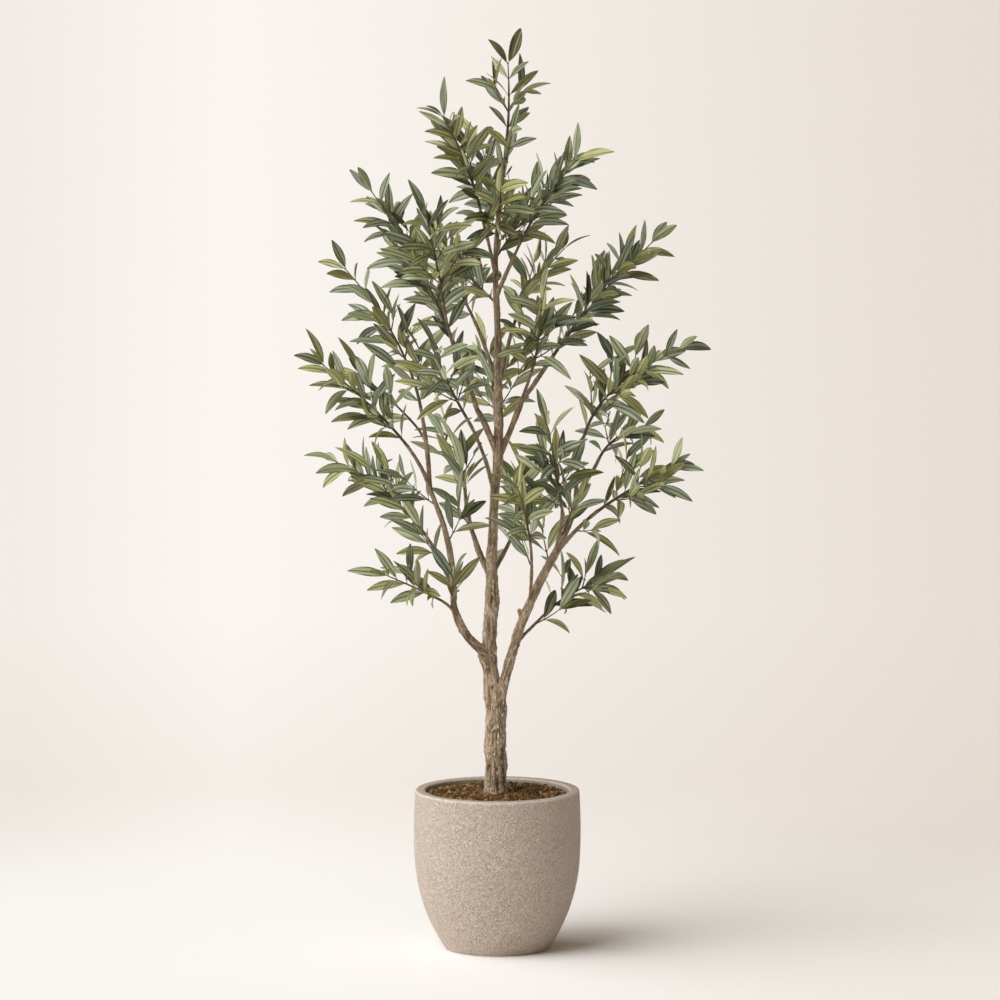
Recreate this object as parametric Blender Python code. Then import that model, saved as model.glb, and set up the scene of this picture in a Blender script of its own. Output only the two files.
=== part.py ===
"""A potted olive tree, 1.8 m tall: a stone-mix tub, its potting mix, the trunk, the boughs that leave it
and the leafy sprays that the boughs carry. Each is a closed solid of its own.

Metres, +Z up. The origin is the middle of the tub's flat foot, and the front of the tree looks along -Y.
"""

import math
import random
from collections import namedtuple

import bmesh
import bpy
import numpy as np
from mathutils import Matrix, Vector

GAP = 0.0003  # between a piece and the piece that carries it

# ---- Tub: a turned shape, widest below its rim and drawn in to a narrow foot
TUB_HEIGHT = 0.3125
RIM_RADIUS = 0.1597
BELLY_RADIUS = 0.162
BELLY_HEIGHT = 0.232
FOOT_RADIUS = 0.100
FOOT_CURVE = 2.6  # how late the side turns in towards the foot
WALL = 0.0195
FLOOR_THICKNESS = 0.028
LIP_ROUND = 0.0055
FOOT_ROUND = 0.004
OUTSIDE_LEVELS = (0.014, 0.034, 0.062, 0.100, 0.150, 0.200, 0.255)  # rings up the outer side
INSIDE_LEVELS = (0.060, 0.110, 0.190)  # rings up the inner side
CORNER_STEPS = 2
TUB_SIDES = 36

# ---- Potting mix: fills the tub to just under its rim, a little higher round the trunk
SOIL_EDGE = 0.2975
SOIL_LEVEL = 0.3035
SOIL_SHOULDER_RADIUS = 0.100  # half way up from the edge to the middle
SOIL_FLAT_RADIUS = 0.034

# ---- Trunk: stations up the centre line, which sways in the plane of the front
Station = namedtuple("Station", "height across width")
TRUNK_STATIONS = (
    Station(SOIL_LEVEL + GAP, -0.003, 0.0395),
    Station(0.385, -0.004, 0.0392),
    Station(0.495, -0.005, 0.0420),
    Station(0.550, -0.011, 0.0310),
    Station(0.595, -0.015, 0.0270),
    Station(0.670, -0.010, 0.0262),
    Station(0.735, -0.010, 0.0235),
    Station(0.785, -0.010, 0.0190),
    Station(0.885, -0.005, 0.0175),
    Station(0.965, 0.001, 0.0195),
    Station(1.070, 0.002, 0.0175),
    Station(1.170, 0.002, 0.0148),
    Station(1.270, -0.002, 0.0122),
    Station(1.360, -0.003, 0.0105),
    Station(1.470, 0.007, 0.0082),
    Station(1.590, 0.019, 0.0060),
)
FLARE_WIDTH = 0.0095  # how much wider the root flare is where it meets the soil
FLARE_HEIGHT = 0.011  # the flare falls away to about a third over this height
FLARE_RINGS = (0.006, 0.014, 0.028, 0.050)  # heights of the close rings above the soil
RING_SPACING = 0.068
TRUNK_SIDES = 12
BOUGH_SIDES = 8
BOUGH_RINGS = 5

# ---- Boughs: each springs from its carrier's centre line at a height, or runs on from its carrier's tip
# where that is None, and bends through one place to its tip. A bough that bears leaves names the place
# where the stem of its leafy spray ends.
Bough = namedtuple("Bough", "name carrier springs bend tip widths spray", defaults=(None,))
BOUGHS = (
    # the low bough on the left, its fork, and what grows from it
    Bough("left_low_bough", "trunk", 0.538, (-0.064, -0.018, 0.622), (-0.085, -0.030, 0.680),
          (0.0185, 0.0135)),
    Bough("left_lowest_limb", "left_low_bough", 0.640, (-0.093, -0.045, 0.678), (-0.111, -0.060, 0.693),
          (0.0065, 0.0052), (-0.187, -0.135, 0.752)),
    Bough("left_low_limb", "left_low_bough", None, (-0.091, -0.040, 0.780), (-0.130, -0.050, 0.905),
          (0.0130, 0.0095)),
    Bough("left_mid_limb", "left_low_limb", 0.697, (-0.107, -0.005, 0.755), (-0.142, 0.025, 0.811),
          (0.0080, 0.0062), (-0.304, 0.120, 0.936)),
    Bough("left_outer_limb", "left_low_limb", None, (-0.136, -0.030, 0.981), (-0.148, 0.000, 1.059),
          (0.0090, 0.0066), (-0.288, 0.110, 1.317)),
    Bough("left_second_limb", "left_outer_limb", 0.945, (-0.141, -0.018, 1.000), (-0.160, -0.010, 1.028),
          (0.0062, 0.0050), (-0.258, 0.020, 1.122)),
    Bough("left_reach_limb", "left_low_limb", 0.890, (-0.149, -0.065, 0.955), (-0.178, -0.085, 1.002),
          (0.0080, 0.0064), (-0.325, -0.150, 1.161)),
    Bough("left_inner_bough", "trunk", 0.722, (-0.042, 0.045, 0.790), (-0.063, 0.140, 0.880),
          (0.0135, 0.0075), (-0.099, 0.250, 0.994)),
    Bough("left_upper_bough", "trunk", 0.965, (-0.018, -0.008, 1.015), (-0.040, -0.035, 1.062),
          (0.0125, 0.0105)),
    Bough("left_high_limb", "left_upper_bough", None, (-0.060, -0.052, 1.124), (-0.081, -0.075, 1.187),
          (0.0100, 0.0072), (-0.234, -0.140, 1.494)),
    Bough("front_high_limb", "left_high_limb", 1.110, (-0.090, -0.122, 1.214), (-0.104, -0.170, 1.289),
          (0.0072, 0.0060), (-0.132, -0.270, 1.462)),
    Bough("back_left_bough", "trunk", 1.095, (-0.020, 0.050, 1.160), (-0.047, 0.130, 1.219),
          (0.0085, 0.0066), (-0.112, 0.270, 1.327)),
    Bough("left_top_bough", "trunk", 1.320, (-0.020, -0.022, 1.395), (-0.035, -0.045, 1.459),
          (0.0078, 0.0060), (-0.100, -0.120, 1.636)),
    # the low bough on the right, its fork, and what grows from it
    Bough("right_low_bough", "trunk", 0.482, (0.062, -0.040, 0.683), (0.115, -0.060, 0.790),
          (0.0232, 0.0150)),
    Bough("right_lowest_limb", "right_low_bough", 0.600, (0.073, 0.020, 0.634), (0.103, 0.065, 0.657),
          (0.0075, 0.0056), (0.206, 0.145, 0.706)),
    Bough("front_centre_limb", "right_low_bough", 0.680, (0.066, -0.105, 0.775), (0.063, -0.150, 0.820),
          (0.0075, 0.0058), (0.038, -0.270, 0.941)),
    Bough("front_right_limb", "right_low_bough", 0.750, (0.122, -0.120, 0.838), (0.122, -0.180, 0.904),
          (0.0078, 0.0060), (0.093, -0.300, 1.065)),
    Bough("right_outer_limb", "right_low_bough", 0.772, (0.156, -0.090, 0.837), (0.196, -0.120, 0.876),
          (0.0095, 0.0068), (0.325, -0.195, 0.970)),
    Bough("right_fork_limb", "right_low_bough", None, (0.143, -0.035, 0.850), (0.158, -0.010, 0.895),
          (0.0125, 0.0105)),
    Bough("right_short_limb", "right_fork_limb", None, (0.178, 0.020, 0.922), (0.199, 0.055, 0.956),
          (0.0085, 0.0064), (0.278, 0.160, 0.999)),
    Bough("right_reach_limb", "right_fork_limb", 0.875, (0.158, -0.034, 0.962), (0.169, -0.050, 1.015),
          (0.0088, 0.0068), (0.340, -0.115, 1.186)),
    Bough("back_low_bough", "trunk", 0.735, (0.019, 0.040, 0.782), (0.034, 0.080, 0.812),
          (0.0090, 0.0068), (0.046, 0.220, 0.909)),
    # the boughs from the upper trunk
    Bough("front_bough", "trunk", 0.880, (-0.029, -0.078, 0.985), (-0.062, -0.140, 1.063),
          (0.0090, 0.0066), (-0.113, -0.300, 1.205)),
    Bough("back_bough", "trunk", 0.909, (0.006, 0.078, 0.967), (0.004, 0.140, 1.008),
          (0.0095, 0.0070), (-0.022, 0.320, 1.143)),
    Bough("right_upper_bough", "trunk", 0.960, (0.025, 0.000, 1.015), (0.045, -0.002, 1.068),
          (0.0125, 0.0108)),
    Bough("right_high_limb", "right_upper_bough", None, (0.079, 0.020, 1.115), (0.108, 0.045, 1.155),
          (0.0100, 0.0076), (0.293, 0.130, 1.366)),
    Bough("right_rising_limb", "right_upper_bough", 1.045, (0.057, -0.042, 1.108), (0.067, -0.080, 1.143),
          (0.0080, 0.0064), (0.082, -0.230, 1.296)),
    Bough("back_right_bough", "trunk", 1.100, (0.020, 0.050, 1.172), (0.034, 0.100, 1.215),
          (0.0088, 0.0068), (0.126, 0.250, 1.339)),
    Bough("right_top_bough", "trunk", 1.275, (0.022, -0.020, 1.334), (0.046, -0.045, 1.389),
          (0.0082, 0.0062), (0.145, -0.115, 1.551)),
)

# ---- Leafy sprays that leave the trunk itself: the height where each springs and where its stem ends
Spray = namedtuple("Spray", "name carrier springs tip")
TRUNK_SPRAYS = (
    Spray("crown_top_leaves", "trunk", None, (0.020, 0.000, 1.728)),
    Spray("left_heart_leaves", "trunk", 1.262, (-0.112, 0.100, 1.365)),
    Spray("right_heart_leaves", "trunk", 1.350, (0.070, 0.080, 1.458)),
    Spray("upper_back_leaves", "trunk", 1.430, (-0.030, 0.110, 1.560)),
    Spray("upper_front_leaves", "trunk", 1.390, (0.002, -0.150, 1.495)),
)

# ---- How a spray grows
STEM_WIDTHS = (0.0046, 0.0026)
SHOOT_WIDTHS = (0.0032, 0.0022)
TWIG_SIDES = 3
STEM_RINGS = 5
SHOOT_RINGS = 3
STEM_HANDLE = 0.45  # share of a stem's length that sets out the way its bough was going
SHOOT_HANDLE = 0.50
PAIR_SPACING = 0.043  # at most, between one pair of leaves and the next
FEWEST_PAIRS = 4  # below the leaves at the end of a stem
FIRST_PAIR = 0.020  # from the foot of a stem or shoot to its first pair
SHOOT_EVERY = 2  # every second pair on a stem has side shoots across it
SHOOT_SHARE = 0.48  # of the stem that is left above it
SHORTEST_SHOOT = 0.028
SHOOT_ANGLE = math.radians(42)
LEAF_ANGLE = math.radians(50)
END_LEAF_ANGLE = math.radians(24)
PAIR_TURN = math.radians(90)  # each pair stands across the one below it
FIRST_TURNS = 0.7  # radians from one spray's first pair to the next spray's
TURN_SWAY = math.radians(22)
LIGHT_PULL = 0.28  # how strongly a leaf or shoot turns up to the light
LEAF_LENGTH = 0.090
LEAF_SWAY = 0.16  # lengths differ by this share either way
LEAF_WIDTH_SHARE = 0.25
LEAF_THICKNESS = 0.0016
WIDEST_AT = 0.42  # of a leaf's length, from its root
CLEAR_OF_ROOT = 0.12  # of a leaf's length, which is left out when room is looked for
CLEAR_OF_FORK = 0.4  # of a shoot's first half, left out in the same way
ROOT_DEPTH = 0.8  # of a twig's half width, past its centre line
NEARLY_UPRIGHT = 0.05  # a leaf this close to its twig's direction takes its width from the twig's side

# ---- A spray's own space
SPRAY_REACH = 0.135  # a spray keeps within this of its own stem
SPRAY_CLEARANCE = 0.0024  # how much nearer it is to its own stem than to any other spray's
LIMB_CLEARANCE = 0.0012
LEAF_CLEARANCE = 0.0020
SEED = 41

# ---- Edges sharper than these stay crisp
TURNED_EDGE = math.radians(35)
LIMB_EDGE = math.radians(50)


# ------------------------------------------------------------------------------------------- centre lines


class Line:
    """A centre line: points from foot to tip, with the limb's width at each."""

    def __init__(self, points, widths):
        self.points = [Vector(point) for point in points]
        self.widths = list(widths)

    def directions(self):
        """The direction at each point, along the chord between its neighbours."""
        last = len(self.points) - 1
        return [
            (self.points[min(i + 1, last)] - self.points[max(i - 1, 0)]).normalized()
            for i in range(last + 1)
        ]

    def at_height(self, height):
        """The place where a rising line reaches this height."""
        for low, high in zip(self.points, self.points[1:]):
            if low.z <= height <= high.z:
                return low.lerp(high, (height - low.z) / (high.z - low.z))
        raise ValueError(f"no height {height} on this line")

    def along(self, distance):
        """(place, direction) at a distance from the foot."""
        for low, high in zip(self.points, self.points[1:]):
            span = (high - low).length
            if distance <= span:
                return low.lerp(high, distance / span), (high - low).normalized()
            distance -= span
        return self.points[-1].copy(), self.directions()[-1]

    def length(self):
        return sum((high - low).length for low, high in zip(self.points, self.points[1:]))


def bent_line(foot, bend, tip, widths, rings):
    """A quadratic curve from foot to tip that passes through the bend, evenly tapered."""
    foot, bend, tip = Vector(foot), Vector(bend), Vector(tip)
    t = (bend - foot).length / ((bend - foot).length + (tip - bend).length)
    handle = (bend - foot * (1 - t) ** 2 - tip * t**2) / (2 * t * (1 - t))
    return curved_line(foot, handle, tip, widths, rings)


def curved_line(foot, handle, tip, widths, rings):
    """A quadratic curve from foot to tip, drawn towards the handle and evenly tapered."""
    shares = [i / (rings - 1) for i in range(rings)]
    points = [foot * (1 - s) ** 2 + handle * 2 * s * (1 - s) + tip * s**2 for s in shares]
    return Line(points, [widths[0] + (widths[1] - widths[0]) * s for s in shares])


def trunk_line():
    """The trunk's centre line: a smooth sway through its stations, with the root flare at its foot."""
    heights = [station.height for station in TRUNK_STATIONS]
    foot, top = heights[0], heights[-1]
    count = round((top - foot) / RING_SPACING)
    levels = [foot, *(foot + rise for rise in FLARE_RINGS)]
    levels += [foot + (top - foot) * i / count for i in range(2, count + 1)]
    across = [station.across for station in TRUNK_STATIONS]
    slopes = np.gradient(across, heights)
    points, widths = [], []
    for level in levels:
        i = min(np.searchsorted(heights, level, side="right"), len(heights) - 1) - 1
        span = heights[i + 1] - heights[i]
        s = (level - heights[i]) / span
        x = (
            across[i] * (1 + 2 * s) * (1 - s) ** 2
            + across[i + 1] * s**2 * (3 - 2 * s)
            + slopes[i] * span * s * (1 - s) ** 2
            - slopes[i + 1] * span * s**2 * (1 - s)
        )
        plain = np.interp(level, heights, [station.width for station in TRUNK_STATIONS])
        flare = FLARE_WIDTH * math.exp((foot - level) / FLARE_HEIGHT)
        points.append((x, 0, level))
        widths.append(plain + flare)
    return Line(points, widths)


# ------------------------------------------------------------------------------------------ solids


def clear_scene():
    for obj in list(bpy.data.objects):
        bpy.data.objects.remove(obj, do_unlink=True)


def principled(name, colour, roughness):
    material = bpy.data.materials.new(name)
    material.use_nodes = True
    shader = material.node_tree.nodes["Principled BSDF"]
    shader.inputs["Base Color"].default_value = (*colour, 1)
    shader.inputs["Roughness"].default_value = roughness
    shader.inputs["Metallic"].default_value = 0
    return material


def object_from(bm, name, material=None):
    """A linked object that takes over the bmesh's shape."""
    mesh = bpy.data.meshes.new(name)
    bm.to_mesh(mesh)
    bm.free()
    obj = bpy.data.objects.new(name, mesh)
    bpy.context.scene.collection.objects.link(obj)
    if material:
        mesh.materials.append(material)
    return obj


def shade(obj, crisp_from):
    obj.data.shade_smooth()
    obj.data.set_sharp_from_angle(angle=crisp_from)


def turned_solid(name, profile, material):
    """A closed solid of revolution. The profile runs from the axis out and back to the axis."""
    bm = bmesh.new()
    points = [bm.verts.new((radius, 0, height)) for radius, height in profile]
    edges = [bm.edges.new(pair) for pair in zip(points, points[1:])]
    bmesh.ops.spin(
        bm,
        geom=points + edges,
        axis=(0, 0, 1),
        cent=(0, 0, 0),
        angle=math.tau,
        steps=TUB_SIDES,
        use_merge=True,
    )
    bmesh.ops.remove_doubles(bm, verts=bm.verts, dist=GAP / 10)
    bmesh.ops.recalc_face_normals(bm, faces=bm.faces)
    shade(object_from(bm, name, material), TURNED_EDGE)


def arc(centre, radius, start, end):
    """Points of a round corner in a turned profile, as (radius, height). Angles are in degrees."""
    turns = [start + (end - start) * i / CORNER_STEPS for i in range(CORNER_STEPS + 1)]
    angles = [math.radians(turn) for turn in turns]
    return [(centre[0] + radius * math.cos(a), centre[1] + radius * math.sin(a)) for a in angles]


def tub_radius(height):
    """The outside of the tub at a height: a late curve up to the belly, then slightly in to the rim."""
    if height < BELLY_HEIGHT:
        drawn_in = (1 - height / BELLY_HEIGHT) ** FOOT_CURVE
        return BELLY_RADIUS - (BELLY_RADIUS - FOOT_RADIUS) * drawn_in
    above = (height - BELLY_HEIGHT) / (TUB_HEIGHT - BELLY_HEIGHT)
    return BELLY_RADIUS - (BELLY_RADIUS - RIM_RADIUS) * above**2


def make_tub(material):
    """The tub: a thick floor, one wall drawn in to the foot, and a flat lip with soft edges."""
    lip = TUB_HEIGHT - LIP_ROUND
    profile = [(0, 0)]
    profile += arc((FOOT_RADIUS - FOOT_ROUND / 2, FOOT_ROUND), FOOT_ROUND, -90, -30)
    profile += [(tub_radius(level), level) for level in OUTSIDE_LEVELS]
    profile += arc((RIM_RADIUS - LIP_ROUND, lip), LIP_ROUND, 0, 90)
    profile += arc((RIM_RADIUS - WALL + LIP_ROUND, lip), LIP_ROUND, 90, 180)
    profile += [(tub_radius(level) - WALL, level) for level in reversed(INSIDE_LEVELS)]
    profile += [(tub_radius(FLOOR_THICKNESS) - WALL, FLOOR_THICKNESS), (0, FLOOR_THICKNESS)]
    turned_solid("tub", profile, material)


def make_potting_mix(material):
    """The plug of potting mix, with the tub's own inner profile, a gap inside it."""
    bottom = FLOOR_THICKNESS + GAP
    profile = [(0, bottom), (tub_radius(FLOOR_THICKNESS) - WALL - 2 * GAP, bottom)]
    profile += [(tub_radius(level) - WALL - GAP, level) for level in INSIDE_LEVELS]
    profile += [(RIM_RADIUS - WALL - GAP, SOIL_EDGE)]
    profile += [(SOIL_SHOULDER_RADIUS, (SOIL_EDGE + SOIL_LEVEL) / 2)]
    profile += [(SOIL_FLAT_RADIUS, SOIL_LEVEL), (0, SOIL_LEVEL)]
    turned_solid("potting_mix", profile, material)


def tube(name, line, sides, material=None, swell=0.0):
    """A closed tapering tube round a line: circles bridged ring to ring, with flat ends."""
    bm = bmesh.new()
    side = Vector((1, 0, 0))
    rings = []
    for point, direction, width in zip(line.points, line.directions(), line.widths):
        side = (side - direction * side.dot(direction)).normalized()
        across = direction.cross(side)
        turn = Matrix((side, across, direction)).transposed().to_4x4()
        circle = bmesh.ops.create_circle(
            bm, segments=sides, radius=width / 2 + swell, matrix=Matrix.Translation(point) @ turn
        )
        rings.append(circle["verts"])
    for lower, upper in zip(rings, rings[1:]):
        for i in range(sides):
            bm.faces.new((lower[i], lower[(i + 1) % sides], upper[(i + 1) % sides], upper[i]))
    bm.faces.new(rings[0])
    bm.faces.new(rings[-1])
    bmesh.ops.recalc_face_normals(bm, faces=bm.faces)
    obj = object_from(bm, name, material)
    shade(obj, LIMB_EDGE)
    return obj


def apply_modifiers(obj):
    """Gives the object its evaluated mesh and drops its modifiers."""
    graph = bpy.context.evaluated_depsgraph_get()
    done = bpy.data.meshes.new_from_object(obj.evaluated_get(graph))
    done.name = obj.name
    obj.modifiers.clear()
    before = obj.data
    obj.data = done
    bpy.data.meshes.remove(before)


def keep_main_shell(obj):
    """Drops every shell but the largest: a sealed hollow is filled and a loose scrap is gone."""
    bm = bmesh.new()
    bm.from_mesh(obj.data)
    unseen = set(bm.verts)
    shells = []
    while unseen:
        shell, frontier = set(), [unseen.pop()]
        while frontier:
            vert = frontier.pop()
            shell.add(vert)
            near = {edge.other_vert(vert) for edge in vert.link_edges} & unseen
            unseen -= near
            frontier.extend(near)
        shells.append(shell)
    shells.sort(key=len)
    for shell in shells[:-1]:
        bmesh.ops.delete(bm, geom=list(shell), context="VERTS")
    bm.to_mesh(obj.data)
    bm.free()


def seat_on(obj, carriers):
    """Cuts the foot of a limb to the shape of what it meets, a gap clear of it."""
    for carrier in carriers:
        cutter = tube("seat_cutter", carrier.line, carrier.sides, swell=GAP)
        cutter.hide_render = True
        cutter.display_type = "WIRE"
        cut = obj.modifiers.new("seat", "BOOLEAN")
        cut.operation = "DIFFERENCE"
        cut.solver = "EXACT"
        cut.object = cutter
        apply_modifiers(obj)
        bpy.data.objects.remove(cutter, do_unlink=True)
    keep_main_shell(obj)


# ------------------------------------------------------------------------------------------ distances


def segment_distances(starts, ends, other_starts, other_ends):
    """The distance from each segment of one set (rows) to each of another (columns). A point is a
    segment that ends where it starts.
    """
    tiny = 1e-18  # keeps a division by a point's length or between parallel segments finite
    p, q = starts[:, None], other_starts[None]
    d, e = (ends - starts)[:, None], (other_ends - other_starts)[None]
    r = p - q
    a, c = (d * d).sum(-1), (e * e).sum(-1)
    b, f = (d * e).sum(-1), (e * r).sum(-1)
    g = (d * r).sum(-1)
    spread = np.maximum(a * c - b * b, tiny)
    s = np.clip((b * f - c * g) / spread, 0, 1)
    t = np.clip((b * s + f) / np.maximum(c, tiny), 0, 1)
    s = np.clip((b * t - g) / np.maximum(a, tiny), 0, 1)
    return np.linalg.norm(r + d * s[..., None] - e * t[..., None], axis=-1)


def as_array(vectors):
    return np.array([tuple(vector) for vector in vectors])


class Limb:
    """A trunk or bough that later pieces keep clear of."""

    def __init__(self, line, sides):
        self.line = line
        self.sides = sides
        points = as_array(line.points)
        self.starts, self.ends = points[:-1], points[1:]
        widths = np.array(line.widths)
        self.reach = np.maximum(widths[:-1], widths[1:]) / 2

    def clearance(self, starts, ends):
        """How far the nearest of these segments stays from the limb's surface."""
        return float((segment_distances(starts, ends, self.starts, self.ends) - self.reach).min())


# ------------------------------------------------------------------------------------------ sprays


class Growth:
    """The twigs and leaves of one spray, which keep to the space round its own stem."""

    def __init__(self, stem, other_stems, limbs, rng):
        self.own = as_array(stem.points)
        starts, ends = self.own[:-1], self.own[1:]
        lines = [as_array(other.points) for other in other_stems]
        self.others = [
            line
            for line in lines
            if segment_distances(starts, ends, line[:-1], line[1:]).min() < 2 * SPRAY_REACH
        ]
        self.limbs = [limb for limb in limbs if limb.clearance(starts, ends) < SPRAY_REACH]
        self.rng = rng
        self.twigs = []
        self.leaves = []
        self.taken = [(starts, ends)]

    def fits(self, starts, ends):
        """Whether segments stay in this spray's space and off every limb."""
        points = np.concatenate([starts, ends, (starts + ends) / 2])
        own = segment_distances(points, points, self.own[:-1], self.own[1:]).min(axis=1)
        if own.max() > SPRAY_REACH:
            return False
        for other in self.others:
            distance = segment_distances(points, points, other[:-1], other[1:]).min(axis=1)
            if (distance - own).min() < SPRAY_CLEARANCE:
                return False
        return all(limb.clearance(starts, ends) > LIMB_CLEARANCE for limb in self.limbs)

    def is_free(self, starts, ends):
        """Whether segments stay off the twigs and leaves that this spray already has."""
        return all(
            segment_distances(starts, ends, *taken).min() > LEAF_CLEARANCE for taken in self.taken
        )

    def add_leaf(self, root, direction, across, length):
        """A lance-shaped leaf, if there is room for it. Across is its width's direction."""
        width = length * LEAF_WIDTH_SHARE / 2
        middle = root + direction * length * WIDEST_AT
        tip = root + direction * length
        clear_root = root + direction * length * CLEAR_OF_ROOT
        ribs = [middle + across * width * share for share in (-1, -0.5, 0, 0.5, 1)]
        starts = as_array([clear_root] * len(ribs) + ribs)
        ends = as_array(ribs + [tip] * len(ribs))
        if self.fits(starts, ends) and self.is_free(starts, ends):
            self.leaves.append((root, direction, across, length))
            self.taken.append((starts, ends))

    def leaf_pair(self, place, direction, side, angle, sink):
        """Two leaves that face each other across a twig."""
        for hand in (-1, 1):
            out = (direction * math.cos(angle) + side * hand * math.sin(angle)).normalized()
            out.z += LIGHT_PULL * (1 - abs(out.z))
            out.normalize()
            across = direction.cross(out)
            if across.length < NEARLY_UPRIGHT:
                across = direction.cross(side)
            length = LEAF_LENGTH * (1 + self.rng.uniform(-LEAF_SWAY, LEAF_SWAY))
            self.add_leaf(place - out * sink, out, across.normalized(), length)

    def dress(self, twig, first_turn, with_shoots):
        """Sets pairs of leaves along a twig and at its tip. A stem also gets side shoots, which cross
        every second pair.
        """
        total = twig.length()
        side = twig.directions()[0].orthogonal().normalized()
        turn = first_turn
        pairs = max(round((total - FIRST_PAIR) / PAIR_SPACING), FEWEST_PAIRS if with_shoots else 1)
        for number in range(pairs):
            distance = FIRST_PAIR + (total - FIRST_PAIR) * number / pairs
            place, direction = twig.along(distance)
            turned = Matrix.Rotation(turn, 3, direction) @ (side - direction * side.dot(direction))
            turned.normalize()
            sink = twig.widths[-1] / 2 * ROOT_DEPTH
            self.leaf_pair(place, direction, turned, LEAF_ANGLE, sink)
            if with_shoots and number % SHOOT_EVERY == 1:
                crosswise = direction.cross(turned)
                self.shoot_pair(place, direction, crosswise, (total - distance) * SHOOT_SHARE)
            turn += PAIR_TURN + self.rng.uniform(-TURN_SWAY, TURN_SWAY)
        tip, direction = twig.points[-1], twig.directions()[-1]
        turned = Matrix.Rotation(turn, 3, direction) @ (side - direction * side.dot(direction))
        inside = tip - direction * twig.widths[-1]
        self.leaf_pair(inside, direction, turned.normalized(), END_LEAF_ANGLE, 0)

    def shoot_pair(self, place, direction, side, length):
        """Two side shoots from one place on the stem, each with its own leaves."""
        for hand in (-1, 1):
            own_length = length * (1 + self.rng.uniform(-LEAF_SWAY, LEAF_SWAY))
            if own_length < SHORTEST_SHOOT:
                continue
            out = direction * math.cos(SHOOT_ANGLE) + side * hand * math.sin(SHOOT_ANGLE)
            out.z += LIGHT_PULL * (1 - abs(out.z))
            out.normalize()
            onward = (out + Vector((0, 0, LIGHT_PULL))).normalized()
            handle = place + out * own_length * SHOOT_HANDLE
            tip = handle + onward * own_length * (1 - SHOOT_HANDLE)
            shoot = curved_line(place, handle, tip, SHOOT_WIDTHS, SHOOT_RINGS)
            line = as_array([place.lerp(handle, CLEAR_OF_FORK), *shoot.points[1:]])
            if self.fits(line[:-1], line[1:]) and self.is_free(line[:-1], line[1:]):
                self.twigs.append(shoot)
                self.taken.append((line[:-1], line[1:]))
                self.dress(shoot, self.rng.uniform(0, math.tau), with_shoots=False)


def leaf_object(root, direction, across, length):
    """A leaf of eight faces: pointed at both ends, widest below its middle."""
    bm = bmesh.new()
    up = across.cross(direction).normalized()
    middle = root + direction * length * WIDEST_AT
    width = length * LEAF_WIDTH_SHARE / 2
    ring = [
        bm.verts.new(middle + across * width),
        bm.verts.new(middle + up * LEAF_THICKNESS / 2),
        bm.verts.new(middle - across * width),
        bm.verts.new(middle - up * LEAF_THICKNESS / 2),
    ]
    ends = [bm.verts.new(root), bm.verts.new(root + direction * length)]
    for end in ends:
        for i, corner in enumerate(ring):
            bm.faces.new((ring[i - 1], corner, end))
    bmesh.ops.recalc_face_normals(bm, faces=bm.faces)
    return object_from(bm, "leaf")


def fused_spray(name, stem_object, growth, material):
    """One solid: a single union of the stem with all its twigs and leaves."""
    parts = [tube("twig", twig, TWIG_SIDES) for twig in growth.twigs]
    parts += [leaf_object(*leaf) for leaf in growth.leaves]
    gathered = bpy.data.collections.new(name + "_parts")
    bpy.context.scene.collection.children.link(gathered)
    for part in parts:
        bpy.context.scene.collection.objects.unlink(part)
        gathered.objects.link(part)
    union = stem_object.modifiers.new("fuse", "BOOLEAN")
    union.operation = "UNION"
    union.operand_type = "COLLECTION"
    union.solver = "MANIFOLD"
    union.collection = gathered
    apply_modifiers(stem_object)
    for part in parts:
        bpy.data.objects.remove(part, do_unlink=True)
    bpy.data.collections.remove(gathered)
    keep_main_shell(stem_object)
    stem_object.data.materials.clear()
    stem_object.data.materials.append(material)


# ------------------------------------------------------------------------------------------ the tree


def make_limbs(bark):
    """The trunk and every bough, each seated on what it springs from, returned by name."""
    line = trunk_line()
    tube("trunk", line, TRUNK_SIDES, bark)
    limbs = {"trunk": Limb(line, TRUNK_SIDES)}
    for bough in BOUGHS:
        carrier = limbs[bough.carrier].line
        if bough.springs is None:
            foot = carrier.points[-1] + carrier.directions()[-1] * GAP
        else:
            foot = carrier.at_height(bough.springs)
        line = bent_line(foot, bough.bend, bough.tip, bough.widths, BOUGH_RINGS)
        obj = tube(bough.name, line, BOUGH_SIDES, bark)
        limb = Limb(line, BOUGH_SIDES)
        half = bough.widths[0] / 2 + GAP
        met = [other for other in limbs.values() if other.clearance(limb.starts, limb.ends) < half]
        seat_on(obj, met)
        limbs[bough.name] = limb
    return limbs


def spray_stems(limbs):
    """The name, carrier and stem of every spray. A stem sets out the way that its bough was going."""
    sprays = [
        Spray(bough.name.rsplit("_", 1)[0] + "_leaves", bough.name, None, bough.spray)
        for bough in BOUGHS
        if bough.spray
    ]
    stems = []
    for spray in (*TRUNK_SPRAYS, *sprays):
        carrier = limbs[spray.carrier]
        tip = Vector(spray.tip)
        if spray.springs is None:
            way = carrier.line.directions()[-1]
            foot = carrier.line.points[-1] + way * GAP
        else:
            foot = carrier.line.at_height(spray.springs)
            way = (tip - foot).normalized()
        handle = foot + way * (tip - foot).length * STEM_HANDLE
        stems.append((spray, carrier, curved_line(foot, handle, tip, STEM_WIDTHS, STEM_RINGS)))
    return stems


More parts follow.
